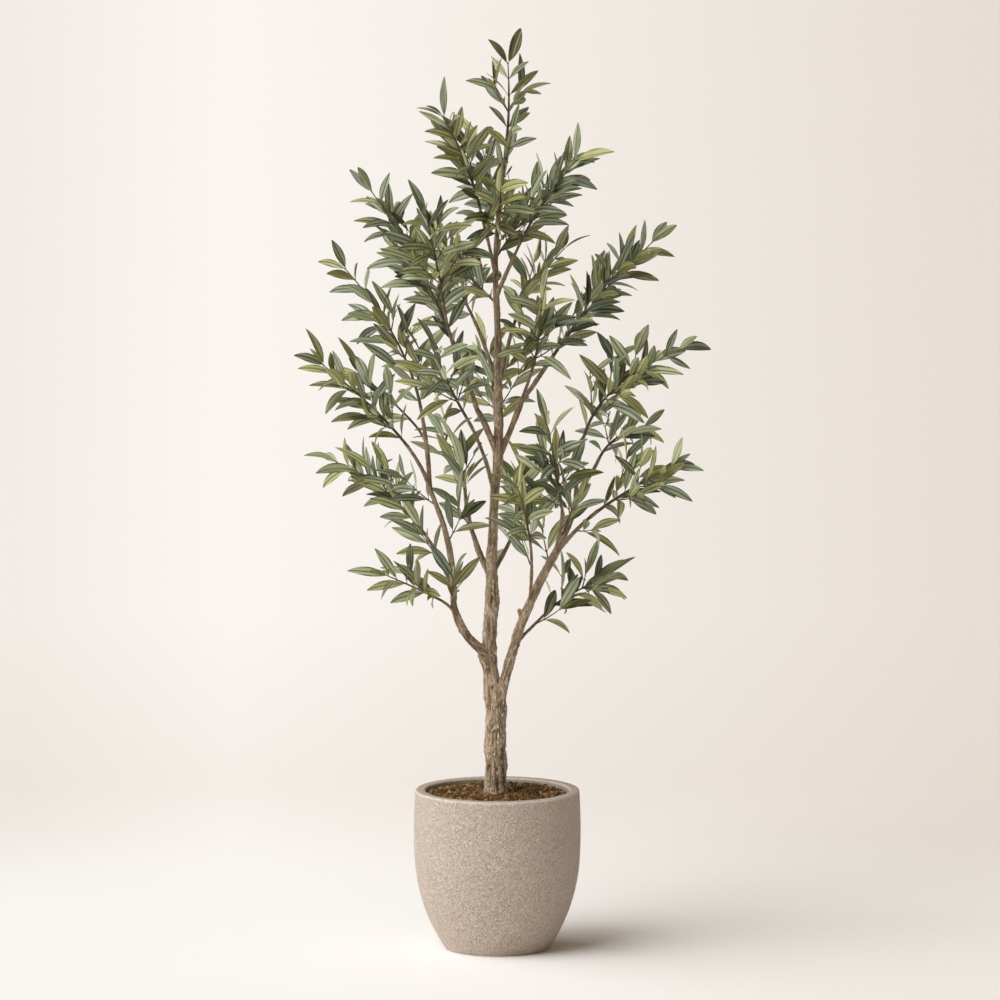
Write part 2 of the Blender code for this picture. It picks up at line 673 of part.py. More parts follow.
def make_sprays(limbs, leaf_material):
    """Every spray, each grown by its own seeded rule and fused into one solid."""
    stems = spray_stems(limbs)
    leaf_count = 0
    for number, (spray, carrier, stem) in enumerate(stems):
        others = [line for other, _, line in stems if other is not spray]
        stem_object = tube(spray.name, stem, TWIG_SIDES)
        if spray.springs is not None:
            seat_on(stem_object, [carrier])
        growth = Growth(stem, others, list(limbs.values()), random.Random(SEED + number))
        growth.dress(stem, number * FIRST_TURNS, with_shoots=True)
        fused_spray(spray.name, stem_object, growth, leaf_material)
        leaf_count += len(growth.leaves)
        print(f"{spray.name}: {len(growth.twigs)} shoots, {len(growth.leaves)} leaves")
    print(f"{len(stems)} sprays, {leaf_count} leaves")


def main():
    clear_scene()
    stone_mix = principled("stone_mix", (0.47, 0.39, 0.32), 0.85)
    soil = principled("potting_mix", (0.13, 0.08, 0.04), 0.95)
    bark = principled("bark", (0.23, 0.17, 0.12), 0.85)
    leaf = principled("leaf", (0.11, 0.15, 0.07), 0.5)
    make_tub(stone_mix)
    make_potting_mix(soil)
    limbs = make_limbs(bark)
    make_sprays(limbs, leaf)


main()
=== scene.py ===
# %% [markdown]
# # A potted olive tree
#
# This lesson dresses a plain model of a young olive tree in a round stone-mix tub. The plain model holds
# the true sizes: a tub, its potting mix, a trunk, the boughs, and one rough solid for each leafy spray.
# Here the trunk gets its bark, and every spray gets real shoots and leaves. We work in metres with +Z up,
# and the tree's front looks along -Y.

# %% Load the plain model
import math
import random
from collections import namedtuple

import bmesh
import bpy
import numpy as np
from mathutils import Matrix, Vector, noise
from mathutils.kdtree import KDTree


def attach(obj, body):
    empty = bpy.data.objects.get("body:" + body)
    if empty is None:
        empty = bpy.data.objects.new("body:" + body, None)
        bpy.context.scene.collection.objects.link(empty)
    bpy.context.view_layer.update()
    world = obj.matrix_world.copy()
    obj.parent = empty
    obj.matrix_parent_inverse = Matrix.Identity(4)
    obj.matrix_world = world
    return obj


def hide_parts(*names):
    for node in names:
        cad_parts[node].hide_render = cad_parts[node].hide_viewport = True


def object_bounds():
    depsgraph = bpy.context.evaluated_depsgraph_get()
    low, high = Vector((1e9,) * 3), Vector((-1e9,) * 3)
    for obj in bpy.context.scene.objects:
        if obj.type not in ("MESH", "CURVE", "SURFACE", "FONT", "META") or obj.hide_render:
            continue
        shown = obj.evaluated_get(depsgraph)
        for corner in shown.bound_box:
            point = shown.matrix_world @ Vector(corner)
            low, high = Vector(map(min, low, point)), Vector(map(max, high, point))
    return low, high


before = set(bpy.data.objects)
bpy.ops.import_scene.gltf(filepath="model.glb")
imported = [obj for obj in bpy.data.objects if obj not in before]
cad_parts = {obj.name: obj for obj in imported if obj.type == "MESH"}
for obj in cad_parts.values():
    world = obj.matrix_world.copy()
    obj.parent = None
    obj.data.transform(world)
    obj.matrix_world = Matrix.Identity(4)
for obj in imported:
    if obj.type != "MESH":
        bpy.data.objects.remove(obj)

plain_box = [list(corner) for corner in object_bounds()]
spray_nodes = sorted(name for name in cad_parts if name.endswith("_leaves"))
limb_nodes = sorted(set(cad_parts) - set(spray_nodes) - {"tub", "potting_mix"})
print(f"{len(limb_nodes)} limbs and {len(spray_nodes)} sprays to dress")

# %% [markdown]
# ## Arithmetic on shader sockets
#
# A material is a small program, but wiring Math nodes by hand hides what it says. The class below wraps one
# output socket, so that `1 - mask` or `grain * 0.3` adds the Math node by itself. Every other node comes
# from the one method `node`, which sets the node's own settings first and then its sockets.


# %% A socket that can be added and multiplied
class Wire:
    """One output of a shader node, or the empty start of a material when it has no socket."""

    def __init__(self, tree, socket=None):
        self.tree = tree
        self.socket = socket

    def node(self, kind, settings=(), inputs=(), output=0):
        made = self.tree.nodes.new("ShaderNode" + kind)
        for name, value in dict(settings).items():
            if name == "stops":
                self.lay_stops(made.color_ramp, value)
            else:
                setattr(made, name, value)
        for name, value in dict(inputs).items():
            if isinstance(value, Wire):
                self.tree.links.new(value.socket, made.inputs[name])
            else:
                made.inputs[name].default_value = value
        return Wire(self.tree, made.outputs[output])

    @staticmethod
    def lay_stops(ramp, stops):
        for place, _ in stops[2:]:
            ramp.elements.new(place)
        for element, (place, tint) in zip(ramp.elements, stops):
            element.position = place
            element.color = tint

    def math(self, operation, *values):
        return self.node("Math", {"operation": operation}, dict(enumerate(values)))

    def __add__(self, other):
        return self.math("ADD", self, other)

    def __sub__(self, other):
        return self.math("SUBTRACT", self, other)

    def __rsub__(self, other):
        return self.math("SUBTRACT", other, self)

    def __mul__(self, other):
        return self.math("MULTIPLY", self, other)

    __radd__ = __add__
    __rmul__ = __mul__

    def size(self):
        """The value without its sign."""
        return self.math("ABSOLUTE", self)

    def between(self, low, high):
        """0 below low, 1 above high, and even in between."""
        return self.node("MapRange", {}, {"Value": self, "From Min": low, "From Max": high})

    def blend(self, first, second):
        """The first colour where this is 0, the second where it is 1."""
        return self.node("Mix", {"data_type": "RGBA"}, {0: self, 6: first, 7: second}, output=2)

    def grain(self, size, detail=2.0, roughness=0.5):
        """Cloudy noise with features about this size, in metres, read at this place."""
        values = {"Vector": self, "Scale": 1 / size, "Detail": detail, "Roughness": roughness}
        return self.node("TexNoise", {}, values)

    def stretched(self, x, y, z):
        """This place with its axes scaled."""
        return self.node("VectorMath", {"operation": "MULTIPLY"}, {0: self, 1: (x, y, z)})


print("sockets can be added, subtracted, multiplied and blended")

# %% [markdown]
# Colours are easiest to choose as on a screen, from 0 to 255, but a shader adds up light, so they are
# turned into linear numbers first. Every finish starts in the same way: with one main shader, and with the
# place on the surface in metres, so that the size of a pattern is a real size.

# %% Colours, finishes and bumps
def colour(red, green, blue):
    """A colour from 0-255 screen values, as the linear numbers that a shader reads."""
    return (*((part / 255) ** 2.2 for part in (red, green, blue)), 1)


def finish_of(name, roughness):
    """A new material, its main shader, and the place on the surface in metres."""
    material = bpy.data.materials.new(name)
    material.use_nodes = True
    tree = material.node_tree
    shader = tree.nodes["Principled BSDF"]
    shader.inputs["Roughness"].default_value = roughness
    return material, shader, Wire(tree).node("TexCoord", output="Object")


def connect(wire, shader, socket):
    wire.tree.links.new(wire.socket, shader.inputs[socket])


def bump(height, shader, distance, strength=1.0):
    """Lets a height pattern, from 0 to 1, tilt the surface as if it were this deep."""
    values = {"Height": height, "Distance": distance, "Strength": strength}
    connect(height.node("Bump", {}, values), shader, "Normal")


print(f"mid grey is {colour(128, 128, 128)[0]:.2f} in linear light")

# %% [markdown]
# ## Studio
#
# A long lens far away keeps the tree's lines upright, as a catalogue view does. The floor is one wide pale
# plane, so it is also the background. Light and shade are painted into its colour: it is painted brightest in
# front, a little darker to either side as in a room lit from the left, and darkest in one soft band of
# painted shade behind the tub, where a paper backdrop would bend upwards.
# Two suns with wide discs make the soft light: the key gives the shadow, and the side light wraps round the
# tub. An even warm sky fills the rest.

# %% Camera and light
CAMERA_DISTANCE = 20.0
CAMERA_HEIGHT = 3.6
AIM_HEIGHT = 0.8795
CAMERA_ASIDE = 0.0052
LENS = 375.2  # millimetres, on a 36 mm sensor
FLOOR_RADIUS = 90.0
LAMP_TINT = (0.985, 0.995, 1.015)
SKY_TINT = (1.0, 0.84, 0.66, 1)
SKY_STRENGTH = 0.235

camera = bpy.data.objects.new("camera", bpy.data.cameras.new("camera"))
camera.location = (CAMERA_ASIDE, -CAMERA_DISTANCE, CAMERA_HEIGHT)
tilt_down = math.atan2(CAMERA_HEIGHT - AIM_HEIGHT, CAMERA_DISTANCE)
camera.rotation_euler = (math.pi / 2 - tilt_down, 0, 0)
camera.data.lens = LENS
camera.data.sensor_width = 36.0
camera.data.clip_end = 500.0
bpy.context.scene.collection.objects.link(camera)
bpy.context.scene.camera = camera
bpy.context.scene.view_settings.view_transform = "Standard"


def sun(name, azimuth, elevation, disc, strength):
    """A lamp that shines from this way round (degrees from +X, anticlockwise), this high and this wide."""
    lamp = bpy.data.lights.new(name, "SUN")
    lamp.energy = strength
    lamp.angle = math.radians(disc)
    lamp.color = LAMP_TINT
    obj = bpy.data.objects.new(name, lamp)
    obj.rotation_euler = (math.radians(90 - elevation), 0, math.radians(azimuth + 90))
    bpy.context.scene.collection.objects.link(obj)


sun("key_light", azimuth=218, elevation=51, disc=46, strength=1.66)
sun("side_light", azimuth=190, elevation=33, disc=92, strength=2.30)

sky = bpy.data.worlds.new("studio")
sky.use_nodes = True
sky.node_tree.nodes["Background"].inputs["Color"].default_value = SKY_TINT
sky.node_tree.nodes["Background"].inputs["Strength"].default_value = SKY_STRENGTH
bpy.context.scene.world = sky
print(f"camera tilted {math.degrees(tilt_down):.1f} degrees down")

# %% [markdown]
# The floor's paper is toned by where a spot lies, and these tones are painted light and shade. Its sideways
# place is divided by its distance from the camera, so that the tones run upright through the view. Further
# back, the painted light of the front gives way to the paper's own tone, darkened by painted shade towards
# either side, and then to the soft band of painted shade at the bend.

# %% The floor and its paper
VIEW_EDGE = 0.046  # metres aside for each metre away, at the edge of the view
FRONT_LIGHT_FADES = (0.45, 1.35)  # metres behind the tub, as are the next two
BEND_SHADE_STARTS = (0.9, 1.9)
BEND_SHADE_ENDS = (2.1, 4.5)
PAINTED_BEND_SHADE_SHARE = 0.22
PAPER_AND_PAINTED_SIDE_SHADE = ((0.00, colour(240, 237, 233)), (0.22, colour(250, 248, 245)), (1.00, colour(228, 222, 215)))

floor_shape = bmesh.new()
bmesh.ops.create_circle(floor_shape, cap_ends=True, segments=128, radius=FLOOR_RADIUS)
floor_mesh = bpy.data.meshes.new("floor")
floor_shape.to_mesh(floor_mesh)
floor_shape.free()
floor = bpy.data.objects.new("floor", floor_mesh)
bpy.context.scene.collection.objects.link(floor)
floor_finish, floor_shader, floor_place = finish_of("studio_floor", 0.9)
sideways = floor_place.node("SeparateXYZ", {}, {0: floor_place}, output="X")
backward = floor_place.node("SeparateXYZ", {}, {0: floor_place}, output="Y")
widening = sideways.math("DIVIDE", sideways, backward + CAMERA_DISTANCE)
rightward = widening.between(-VIEW_EDGE, VIEW_EDGE)
# The paper is painted darker towards either side of the view: painted shade, as in a room lit from the left.
paper_and_painted_light = rightward.node("ValToRGB", {"stops": PAPER_AND_PAINTED_SIDE_SHADE}, {"Fac": rightward})
# The front is painted lighter than the paper further back: a painted pool of light, which on the right also
# lightens the crown's cast shadow.
front = rightward.between(0.3, 1.0).blend(colour(248, 247, 245), colour(241, 237, 231))
paper_and_painted_light = backward.between(*FRONT_LIGHT_FADES).blend(front, paper_and_painted_light)
# A soft band of painted shade where a paper backdrop would bend upwards.
bend = backward.between(*BEND_SHADE_STARTS) * (1 - backward.between(*BEND_SHADE_ENDS))
connect((bend * PAINTED_BEND_SHADE_SHARE).blend(paper_and_painted_light, colour(214, 206, 196)), floor_shader, "Base Color")
floor_mesh.materials.append(floor_finish)
print(f"paper floor {2 * FLOOR_RADIUS:.0f} m across")

# %% [markdown]
# ## Meshes from arrays
#
# Thousands of leaves are far too many for one object each. Instead every kind of thing is collected in a
# `Heap`: points, faces and, where we need it, one number for each point, such as how old a twig is. At the
# end the heap becomes one mesh. Numbers kept with the points reach the material through an Attribute node.


# %% A heap of shapes that become one mesh
class Heap:
    """Shapes of one kind, collected to become one mesh."""

    def __init__(self):
        self.points = []
        self.faces = []
        self.finishes = []
        self.tones = []
        self.uvs = []
        self.count = 0

    def add(self, points, faces, tone=0.0, finishes=None, uv=None):
        """Points as an array, faces as tuples. Tone is one number, or one for each point."""
        self.points.append(np.asarray(points, float))
        self.faces.extend([tuple(corner + self.count for corner in face) for face in faces])
        self.finishes.extend(finishes if finishes is not None else [0] * len(faces))
        self.tones.append(np.broadcast_to(np.asarray(tone, float), (len(points),)))
        if uv is not None:
            self.uvs.append(np.asarray(uv, float))
        self.count += len(points)

    def build(self, name, materials, crisp_from=None):
        """The finished object. Edges sharper than crisp_from, in degrees, stay crisp."""
        mesh = bpy.data.meshes.new(name)
        points = np.concatenate(self.points)
        mesh.from_pydata(points.tolist(), [], self.faces)
        for material in materials:
            mesh.materials.append(material)
        mesh.polygons.foreach_set("material_index", self.finishes)
        mesh.attributes.new("tone", "FLOAT", "POINT").data.foreach_set("value", np.concatenate(self.tones))
        if self.uvs:
            corners = np.empty(len(mesh.loops), int)
            mesh.loops.foreach_get("vertex_index", corners)
            layer = mesh.uv_layers.new(name="blade")
            layer.data.foreach_set("uv", np.concatenate(self.uvs)[corners].ravel())
        mesh.shade_smooth()
        if crisp_from is not None:
            mesh.set_sharp_from_angle(angle=math.radians(crisp_from))
        obj = bpy.data.objects.new(name, mesh)
        bpy.context.scene.collection.objects.link(obj)
        return obj


def dress(obj, nodes):
    """Hides the plain nodes that this piece stands for, hangs it on the root body, and prints its triangles.
    """
    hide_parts(*nodes)
    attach(obj, "root")
    triangles = sum(len(face.vertices) - 2 for face in obj.data.polygons)
    print(f"{obj.name}: {triangles} triangles")


def cloud(point, size, seed):
    """Smooth noise from -1 to 1 at a point, with features about this size."""
    return noise.noise((point[0] / size + seed, point[1] / size - seed, point[2] / size + 2 * seed))


# %% [markdown]
# A turned pot, a thread and a bough are all rings of points joined one to the next, so the rings and the
# faces between them get their own helpers.

# %% Rings and the faces between them
def ring_round(place, side, across, width, sides):
    """A ring of points this wide round a place, in the plane of two crosswise directions."""
    turns = [math.tau * i / sides for i in range(sides)]
    return [place + (side * math.cos(turn) + across * math.sin(turn)) * width / 2 for turn in turns]


def ring_faces(rings, sides):
    """The four-cornered faces between each ring and the next."""
    edges = [(ring * sides, i, (i + 1) % sides) for ring in range(rings - 1) for i in range(sides)]
    return [(start + i, start + j, start + j + sides, start + i + sides) for start, i, j in edges]


def tube_faces(rings, sides):
    """The same with a flat cap at either end."""
    last = (rings - 1) * sides
    return ring_faces(rings, sides) + [tuple(range(sides))[::-1], tuple(last + i for i in range(sides))]


print("rings can be joined into tubes")

# %% [markdown]
# ## The tub
#
# The tub is cast from a sand and fibre mix. It is round, so it starts as one profile, which is then turned
# about the axis. The profile has only the real edges of such a tub: a soft foot, a wall that swells late
# and draws in again to the rim, a round lip, and a plain inside.

# %% The tub's profile
TUB_HEIGHT = 0.3125
RIM_RADIUS = 0.1597
BELLY_RADIUS = 0.162
BELLY_HEIGHT = 0.232
FOOT_RADIUS = 0.100
FOOT_CURVE = 2.6
WALL = 0.0195
FLOOR_THICKNESS = 0.028
LIP_ROUND = 0.0042
FOOT_ROUND = 0.004
TUB_SIDES = 460
WALL_RINGS = 140
CORNER_RINGS = 7
RING_GAP = 0.002  # from a round corner to the next ring of the wall
INSIDE_GAP = 0.003


def tub_radius(height):
    """The outside of the tub at a height: a late curve up to the belly, then slightly in to the rim."""
    if height < BELLY_HEIGHT:
        drawn_in = (1 - height / BELLY_HEIGHT) ** FOOT_CURVE
        return BELLY_RADIUS - (BELLY_RADIUS - FOOT_RADIUS) * drawn_in
    above = (height - BELLY_HEIGHT) / (TUB_HEIGHT - BELLY_HEIGHT)
    return BELLY_RADIUS - (BELLY_RADIUS - RIM_RADIUS) * above**2


def corner(centre, radius, start, end):
    """Points of a round corner in a profile, as (radius, height). Angles are in degrees."""
    angles = np.radians(np.linspace(start, end, CORNER_RINGS))
    return [(centre[0] + radius * math.cos(a), centre[1] + radius * math.sin(a)) for a in angles]


def tub_profile():
    """From the middle of the underside, out, up the wall, over the lip and down inside."""
    lip = TUB_HEIGHT - LIP_ROUND
    foot_corner = corner((FOOT_RADIUS - FOOT_ROUND / 2, FOOT_ROUND), FOOT_ROUND, -90, -30)
    wall_levels = np.linspace(foot_corner[-1][1] + RING_GAP, lip - RING_GAP, WALL_RINGS)
    wall = [(tub_radius(z), z) for z in wall_levels]
    outer_lip = corner((RIM_RADIUS - LIP_ROUND, lip), LIP_ROUND, 0, 90)
    inner_lip = corner((RIM_RADIUS - WALL + LIP_ROUND, lip), LIP_ROUND, 90, 180)
    inside_levels = np.linspace(lip - INSIDE_GAP, FLOOR_THICKNESS, WALL_RINGS // 4)
    inside = [(tub_radius(z) - WALL, z) for z in inside_levels]
    foot = [(foot_corner[0][0] * share, 0) for share in (0.0, 0.4, 0.8)]
    bottom = [(inside[-1][0] * share, FLOOR_THICKNESS) for share in (0.6, 0.0)]
    return foot + foot_corner + wall + outer_lip + inner_lip + inside + bottom


print(f"{len(tub_profile())} points in the tub's profile")

# %% [markdown]
# Blender's Screw modifier could turn the profile. Here it is turned with arrays instead, because the next
# step moves each point of the wall, and the bed of potting mix is turned in the same way.

# %% Turn the profile
def turned(profile, sides):
    """Points and faces of a profile that starts and ends on the axis, turned once round it."""
    turns = np.linspace(0, math.tau, sides, endpoint=False)
    rings = np.array(profile[1:-1])
    x = rings[:, :1] * np.cos(turns)
    y = rings[:, :1] * np.sin(turns)
    z = np.repeat(rings[:, 1:], sides, axis=1)
    points = np.stack([x, y, z], axis=-1).reshape(-1, 3)
    points = np.concatenate([points, [(0, 0, profile[0][1]), (0, 0, profile[-1][1])]])
    low, high = len(points) - 2, len(points) - 1
    last = (len(rings) - 1) * sides
    faces = ring_faces(len(rings), sides)
    faces += [((i + 1) % sides, i, low) for i in range(sides)]
    faces += [(last + i, last + (i + 1) % sides, high) for i in range(sides)]
    return points, faces


tub_points, tub_faces = turned(tub_profile(), TUB_SIDES)
print(f"tub profile turned into {len(tub_faces)} faces")

# %% [markdown]
# A cast wall is never quite true, so each point of it moves in or out by a little smooth noise: slow waves
# for the hand of the mould maker, and a fine wrinkled grain for the sand. A Displace modifier could do the
# same, but here the underside has to stay flat and the rim has to keep its height.

# %% Cast the wall: slow waves and sandy grain
WAVE_SIZE, WAVE_DEPTH = 0.085, 0.00070
GRAIN_SIZE, GRAIN_DEPTH = 0.0058, 0.00055

for index, point in enumerate(tub_points):
    spread = math.hypot(point[0], point[1])
    if point[2] < FOOT_ROUND or spread < FOOT_RADIUS / 2:
        continue
    wrinkle = 0.4 - abs(cloud(point, GRAIN_SIZE, 5)) * 2
    proud = WAVE_DEPTH * cloud(point, WAVE_SIZE, 3) + GRAIN_DEPTH * wrinkle
    tub_points[index, :2] *= 1 + proud / spread
    if point[2] > TUB_HEIGHT - LIP_ROUND / 2:
        tub_points[index, 2] -= abs(proud) / 2
tub_heap = Heap()
tub_heap.add(tub_points, tub_faces)
print("the wall is cast")

# %% [markdown]
# The finish is a warm grey-beige cement with pale and dark sand in it. Fine noise mixes the sand. Where a
# coarser noise crosses its own middle value it draws thin curling lines. Two families of such lines take
# turns, so that each breaks off where the other starts: short curls, like fibres in the skin of the cast. A
# sparse pattern of cells leaves small dark pits. The edges of the lip are painted paler, partly as wear and
# partly as a painted highlight where they round over. Near the foot a few faint pinkish patches show
# through, as iron in the sand does.

# %% The stone mix's finish
stone_mix, stone_shader, place = finish_of("stone_mix", 0.62)
CURL_SIZE = 0.0039
CURL_WIDTH = 0.042  # how far from the noise's middle value a line reaches
# Where the rim's edges are painted paler: partly wear, partly a painted highlight where they round over.
WORN_AND_HIGHLIT_DROPS = (0.0060, 0.0030)  # below the rim, from untouched to fully worn
WORN_AND_HIGHLIT_INSETS = (0.0035, 0.0015)  # in from either edge of the rim, likewise


def curls_of(noise_value):
    """1 on thin lines where the noise crosses its middle value."""
    return 1 - (noise_value - 0.5).size().between(0.0, CURL_WIDTH)


sand = place.grain(0.0016, detail=2.0, roughness=0.70)
coarse = place.grain(CURL_SIZE, detail=1.5)
crossing = place.stretched(1, 1, -1).grain(CURL_SIZE * 0.85, detail=1.5)
turn_taking = place.grain(0.0044, detail=0.0).between(0.46, 0.54)
wrinkles = curls_of(coarse) * turn_taking + curls_of(crossing) * (1 - turn_taking)
clouding = place.grain(0.055, detail=2.0)
pits = place.node("TexVoronoi", {"feature": "F1"}, {"Vector": place, "Scale": 1 / 0.011})
pit_mask = 1 - pits.between(0.045, 0.10)
rust = place.grain(0.035, detail=1.5).between(0.56, 0.70)
height = place.node("SeparateXYZ", {}, {0: place}, output="Z")
low_down = 1 - height.between(0.02, 0.15)
level = place.stretched(1, 1, 0)
spread = level.node("VectorMath", {"operation": "LENGTH"}, {0: level}, output="Value")
near_top = height.between(*(TUB_HEIGHT - drop for drop in WORN_AND_HIGHLIT_DROPS))
outer_edge = spread.between(*(RIM_RADIUS - inset for inset in WORN_AND_HIGHLIT_INSETS))
inner_edge = 1 - spread.between(*(RIM_RADIUS - WALL + inset for inset in WORN_AND_HIGHLIT_INSETS[::-1]))
worn_and_highlit_edges = near_top * (inner_edge + outer_edge)
tone = sand.between(0.32, 0.68).blend(colour(167, 149, 131), colour(230, 215, 200))
tone = (coarse.between(0.50, 0.75) * 0.16).blend(tone, colour(242, 232, 218))
tone = (wrinkles * 0.55).blend(tone, colour(126, 103, 84))
tone = (clouding.between(0.30, 0.70) * 0.25).blend(tone, colour(210, 190, 174))
tone = (rust * low_down * 0.35).blend(tone, colour(200, 160, 142))
tone = (pit_mask * 0.6).blend(tone, colour(92, 78, 66))
# Painted highlight and wear on the lip's edges.
tone = (worn_and_highlit_edges * 0.55).blend(tone, colour(240, 230, 216))
connect(tone, stone_shader, "Base Color")
connect(0.50 + 0.20 * sand, stone_shader, "Roughness")
bump(sand * 0.8 + coarse * 0.2 - wrinkles - pit_mask * 0.8, stone_shader, distance=0.0012)

tub = tub_heap.build("stone_tub", [stone_mix], crisp_from=60)
dress(tub, ["tub"])

# %% [markdown]
# ## The potting mix
#
# Potting mix is not a flat disc. It is a heap of fibre crumbs, chips and threads with dark gaps between
# them. A lumpy bed closes the tub, and loose crumbs of many sizes are scattered over it: the bed fills the
# gaps, the crumbs catch the light.

# %% The bed
SOIL_EDGE = 0.2975
SOIL_LEVEL = 0.3035
SOIL_DEPTH = 0.030
SOIL_CLEARANCE = 0.0006
SOIL_RINGS = 52
SOIL_SIDES = 180
LUMP_SIZE, LUMP_DEPTH = 0.017, 0.0105
HEAP_HEIGHT = 0.0045  # the mix is heaped up a little towards the back
TRUNK_FOOT = (-0.003, 0.0)
TRUNK_CLEAR = 0.03  # the bed lies smoother this close to the trunk
SOIL_SEED = 12

rng = random.Random(SOIL_SEED)
soil_radius = RIM_RADIUS - WALL - SOIL_CLEARANCE


def soil_height(x, y):
    """The bed's surface: a little higher towards the middle, with lumps."""
    share = min(math.hypot(x, y) / soil_radius, 1)
    smooth = SOIL_LEVEL - 0.0010 + (SOIL_EDGE - SOIL_LEVEL) * share**1.5
    smooth += HEAP_HEIGHT * share * (1 + y / soil_radius) / 2
    lumps = cloud((x, y, 0), LUMP_SIZE, 7) + 0.45 * cloud((x, y, 0), LUMP_SIZE / 2.4, 9)
    from_trunk = math.hypot(x - TRUNK_FOOT[0], y - TRUNK_FOOT[1])
    return smooth + LUMP_DEPTH * lumps * 0.55 * (1 - math.exp(-((from_trunk / TRUNK_CLEAR) ** 2)))


shares = [ring / SOIL_RINGS for ring in range(SOIL_RINGS + 1)]
bed_profile = [(soil_radius * share, 0.0) for share in shares]
bed_profile += [(soil_radius, -SOIL_DEPTH), (0.0, -SOIL_DEPTH)]
bed_points, bed_faces = turned(bed_profile, SOIL_SIDES)
for index, (x, y, level) in enumerate(bed_points):
    bed_points[index, 2] = SOIL_LEVEL - SOIL_DEPTH if level < 0 else soil_height(x, y)
bed_heap = Heap()
bed_heap.add(bed_points, [face[::-1] for face in bed_faces], tone=0.2)
print(f"bed of {len(bed_faces)} faces")

# %% [markdown]
# Crumbs and chips start as balls. Noise makes each rough, and it is flattened and turned at random, so that
# no two look alike. A particle system could scatter them, but plain meshes need nothing more once they are
# made.

# %% Crumbs and chips
CRUMBS, CRUMB_SIZES = 1350, (0.0020, 0.0060)
CHIPS, CHIP_SIZES = 1900, (0.0008, 0.0024)


def ball(detail):
    """Points and triangles of a round lump of radius 1."""
    shape = bmesh.new()
    bmesh.ops.create_icosphere(shape, subdivisions=detail, radius=1)
    points = np.array([vert.co[:] for vert in shape.verts])
    faces = [tuple(vert.index for vert in face.verts) for face in shape.faces]
    shape.free()
    return points, faces


def random_turn():
    axis = Vector((rng.gauss(0, 1), rng.gauss(0, 1), rng.gauss(0, 1))).normalized()
    return np.array(Matrix.Rotation(rng.uniform(0, math.tau), 3, axis))


def on_the_bed(margin):
    """A random place on the bed, clear of the tub's wall by the margin."""
    spread = (soil_radius - margin) * math.sqrt(rng.random())
    turn = rng.uniform(0, math.tau)
    return spread * math.cos(turn), spread * math.sin(turn)


def scatter(heap, count, shape, sizes, flatness, raised):
    """Rough lumps of random size and turn, with their middles raised off the bed by a share of their size."""
    points, faces = shape
    for _ in range(count):
        size = rng.uniform(*sizes)
        x, y = on_the_bed(size)
        proportions = np.array([1.0, rng.uniform(0.5, 0.9), rng.uniform(*flatness)])
        rough = np.array([1 + 0.75 * cloud(point, 0.6, size * 4000) for point in points])
        lump = (points * rough[:, None] * proportions * size) @ random_turn().T
        lump += (x, y, soil_height(x, y) + size * raised)
        heap.add(lump, faces, tone=rng.random())


crumb_heap = Heap()
scatter(crumb_heap, CRUMBS, ball(2), CRUMB_SIZES, flatness=(0.35, 0.8), raised=0.25)
scatter(crumb_heap, CHIPS, ball(1), CHIP_SIZES, flatness=(0.25, 0.6), raised=0.80)
print(f"{CRUMBS} crumbs and {CHIPS} chips")

# %% [markdown]
# Coconut fibre leaves short curled threads in the mix. Each is a thin tube along a few points, which turn a
# little more at every step and arch over the bed.

# %% Threads of fibre
THREADS = 1500
THREAD_WIDTH = 0.0007
THREAD_POINTS = 5
THREAD_LENGTHS = (0.007, 0.020)
THREAD_CURL = 1.2  # radians from end to end, at most
THREAD_LIFT = 0.0020
THREAD_ARCH = 0.0060
THREAD_MARGINS = (0.012, 0.002)  # to the wall, from a thread's foot and from the rest of it


def thread_tube(heap, centre, width, tone, sides=3):
    """A thin closed tube along a few points."""
    centre = [Vector(spot) for spot in centre]
    last = len(centre) - 1
    points = []
    for i, spot in enumerate(centre):
        way = (centre[min(i + 1, last)] - centre[max(i - 1, 0)]).normalized()
        side = way.orthogonal().normalized()
        points += [tuple(point) for point in ring_round(spot, side, way.cross(side), width, sides)]
    heap.add(points, tube_faces(len(centre), sides), tone=tone)


for _ in range(THREADS):
    x, y = on_the_bed(THREAD_MARGINS[0])
    length = rng.uniform(*THREAD_LENGTHS)
    turn, curl = rng.uniform(0, math.tau), rng.uniform(-THREAD_CURL, THREAD_CURL)
    spots = []
    for i in range(THREAD_POINTS):
        share = i / (THREAD_POINTS - 1)
        way = turn + curl * share
        lift = THREAD_LIFT + THREAD_ARCH * math.sin(math.pi * share) * rng.random()
        spots.append((x, y, soil_height(x, y) + lift))
        x += math.cos(way) * length / THREAD_POINTS
        y += math.sin(way) * length / THREAD_POINTS
        pull = max(math.hypot(x, y) / (soil_radius - THREAD_MARGINS[1]), 1)
        x, y = x / pull, y / pull
    thread_tube(crumb_heap, spots, THREAD_WIDTH * rng.uniform(0.7, 1.5), rng.uniform(0.5, 1))
print(f"{THREADS} threads")

# %% [markdown]
# The crumbs share one finish. Their tone number deals out the colour: dark damp peat, brown fibre and a few
# ochre and greenish threads.

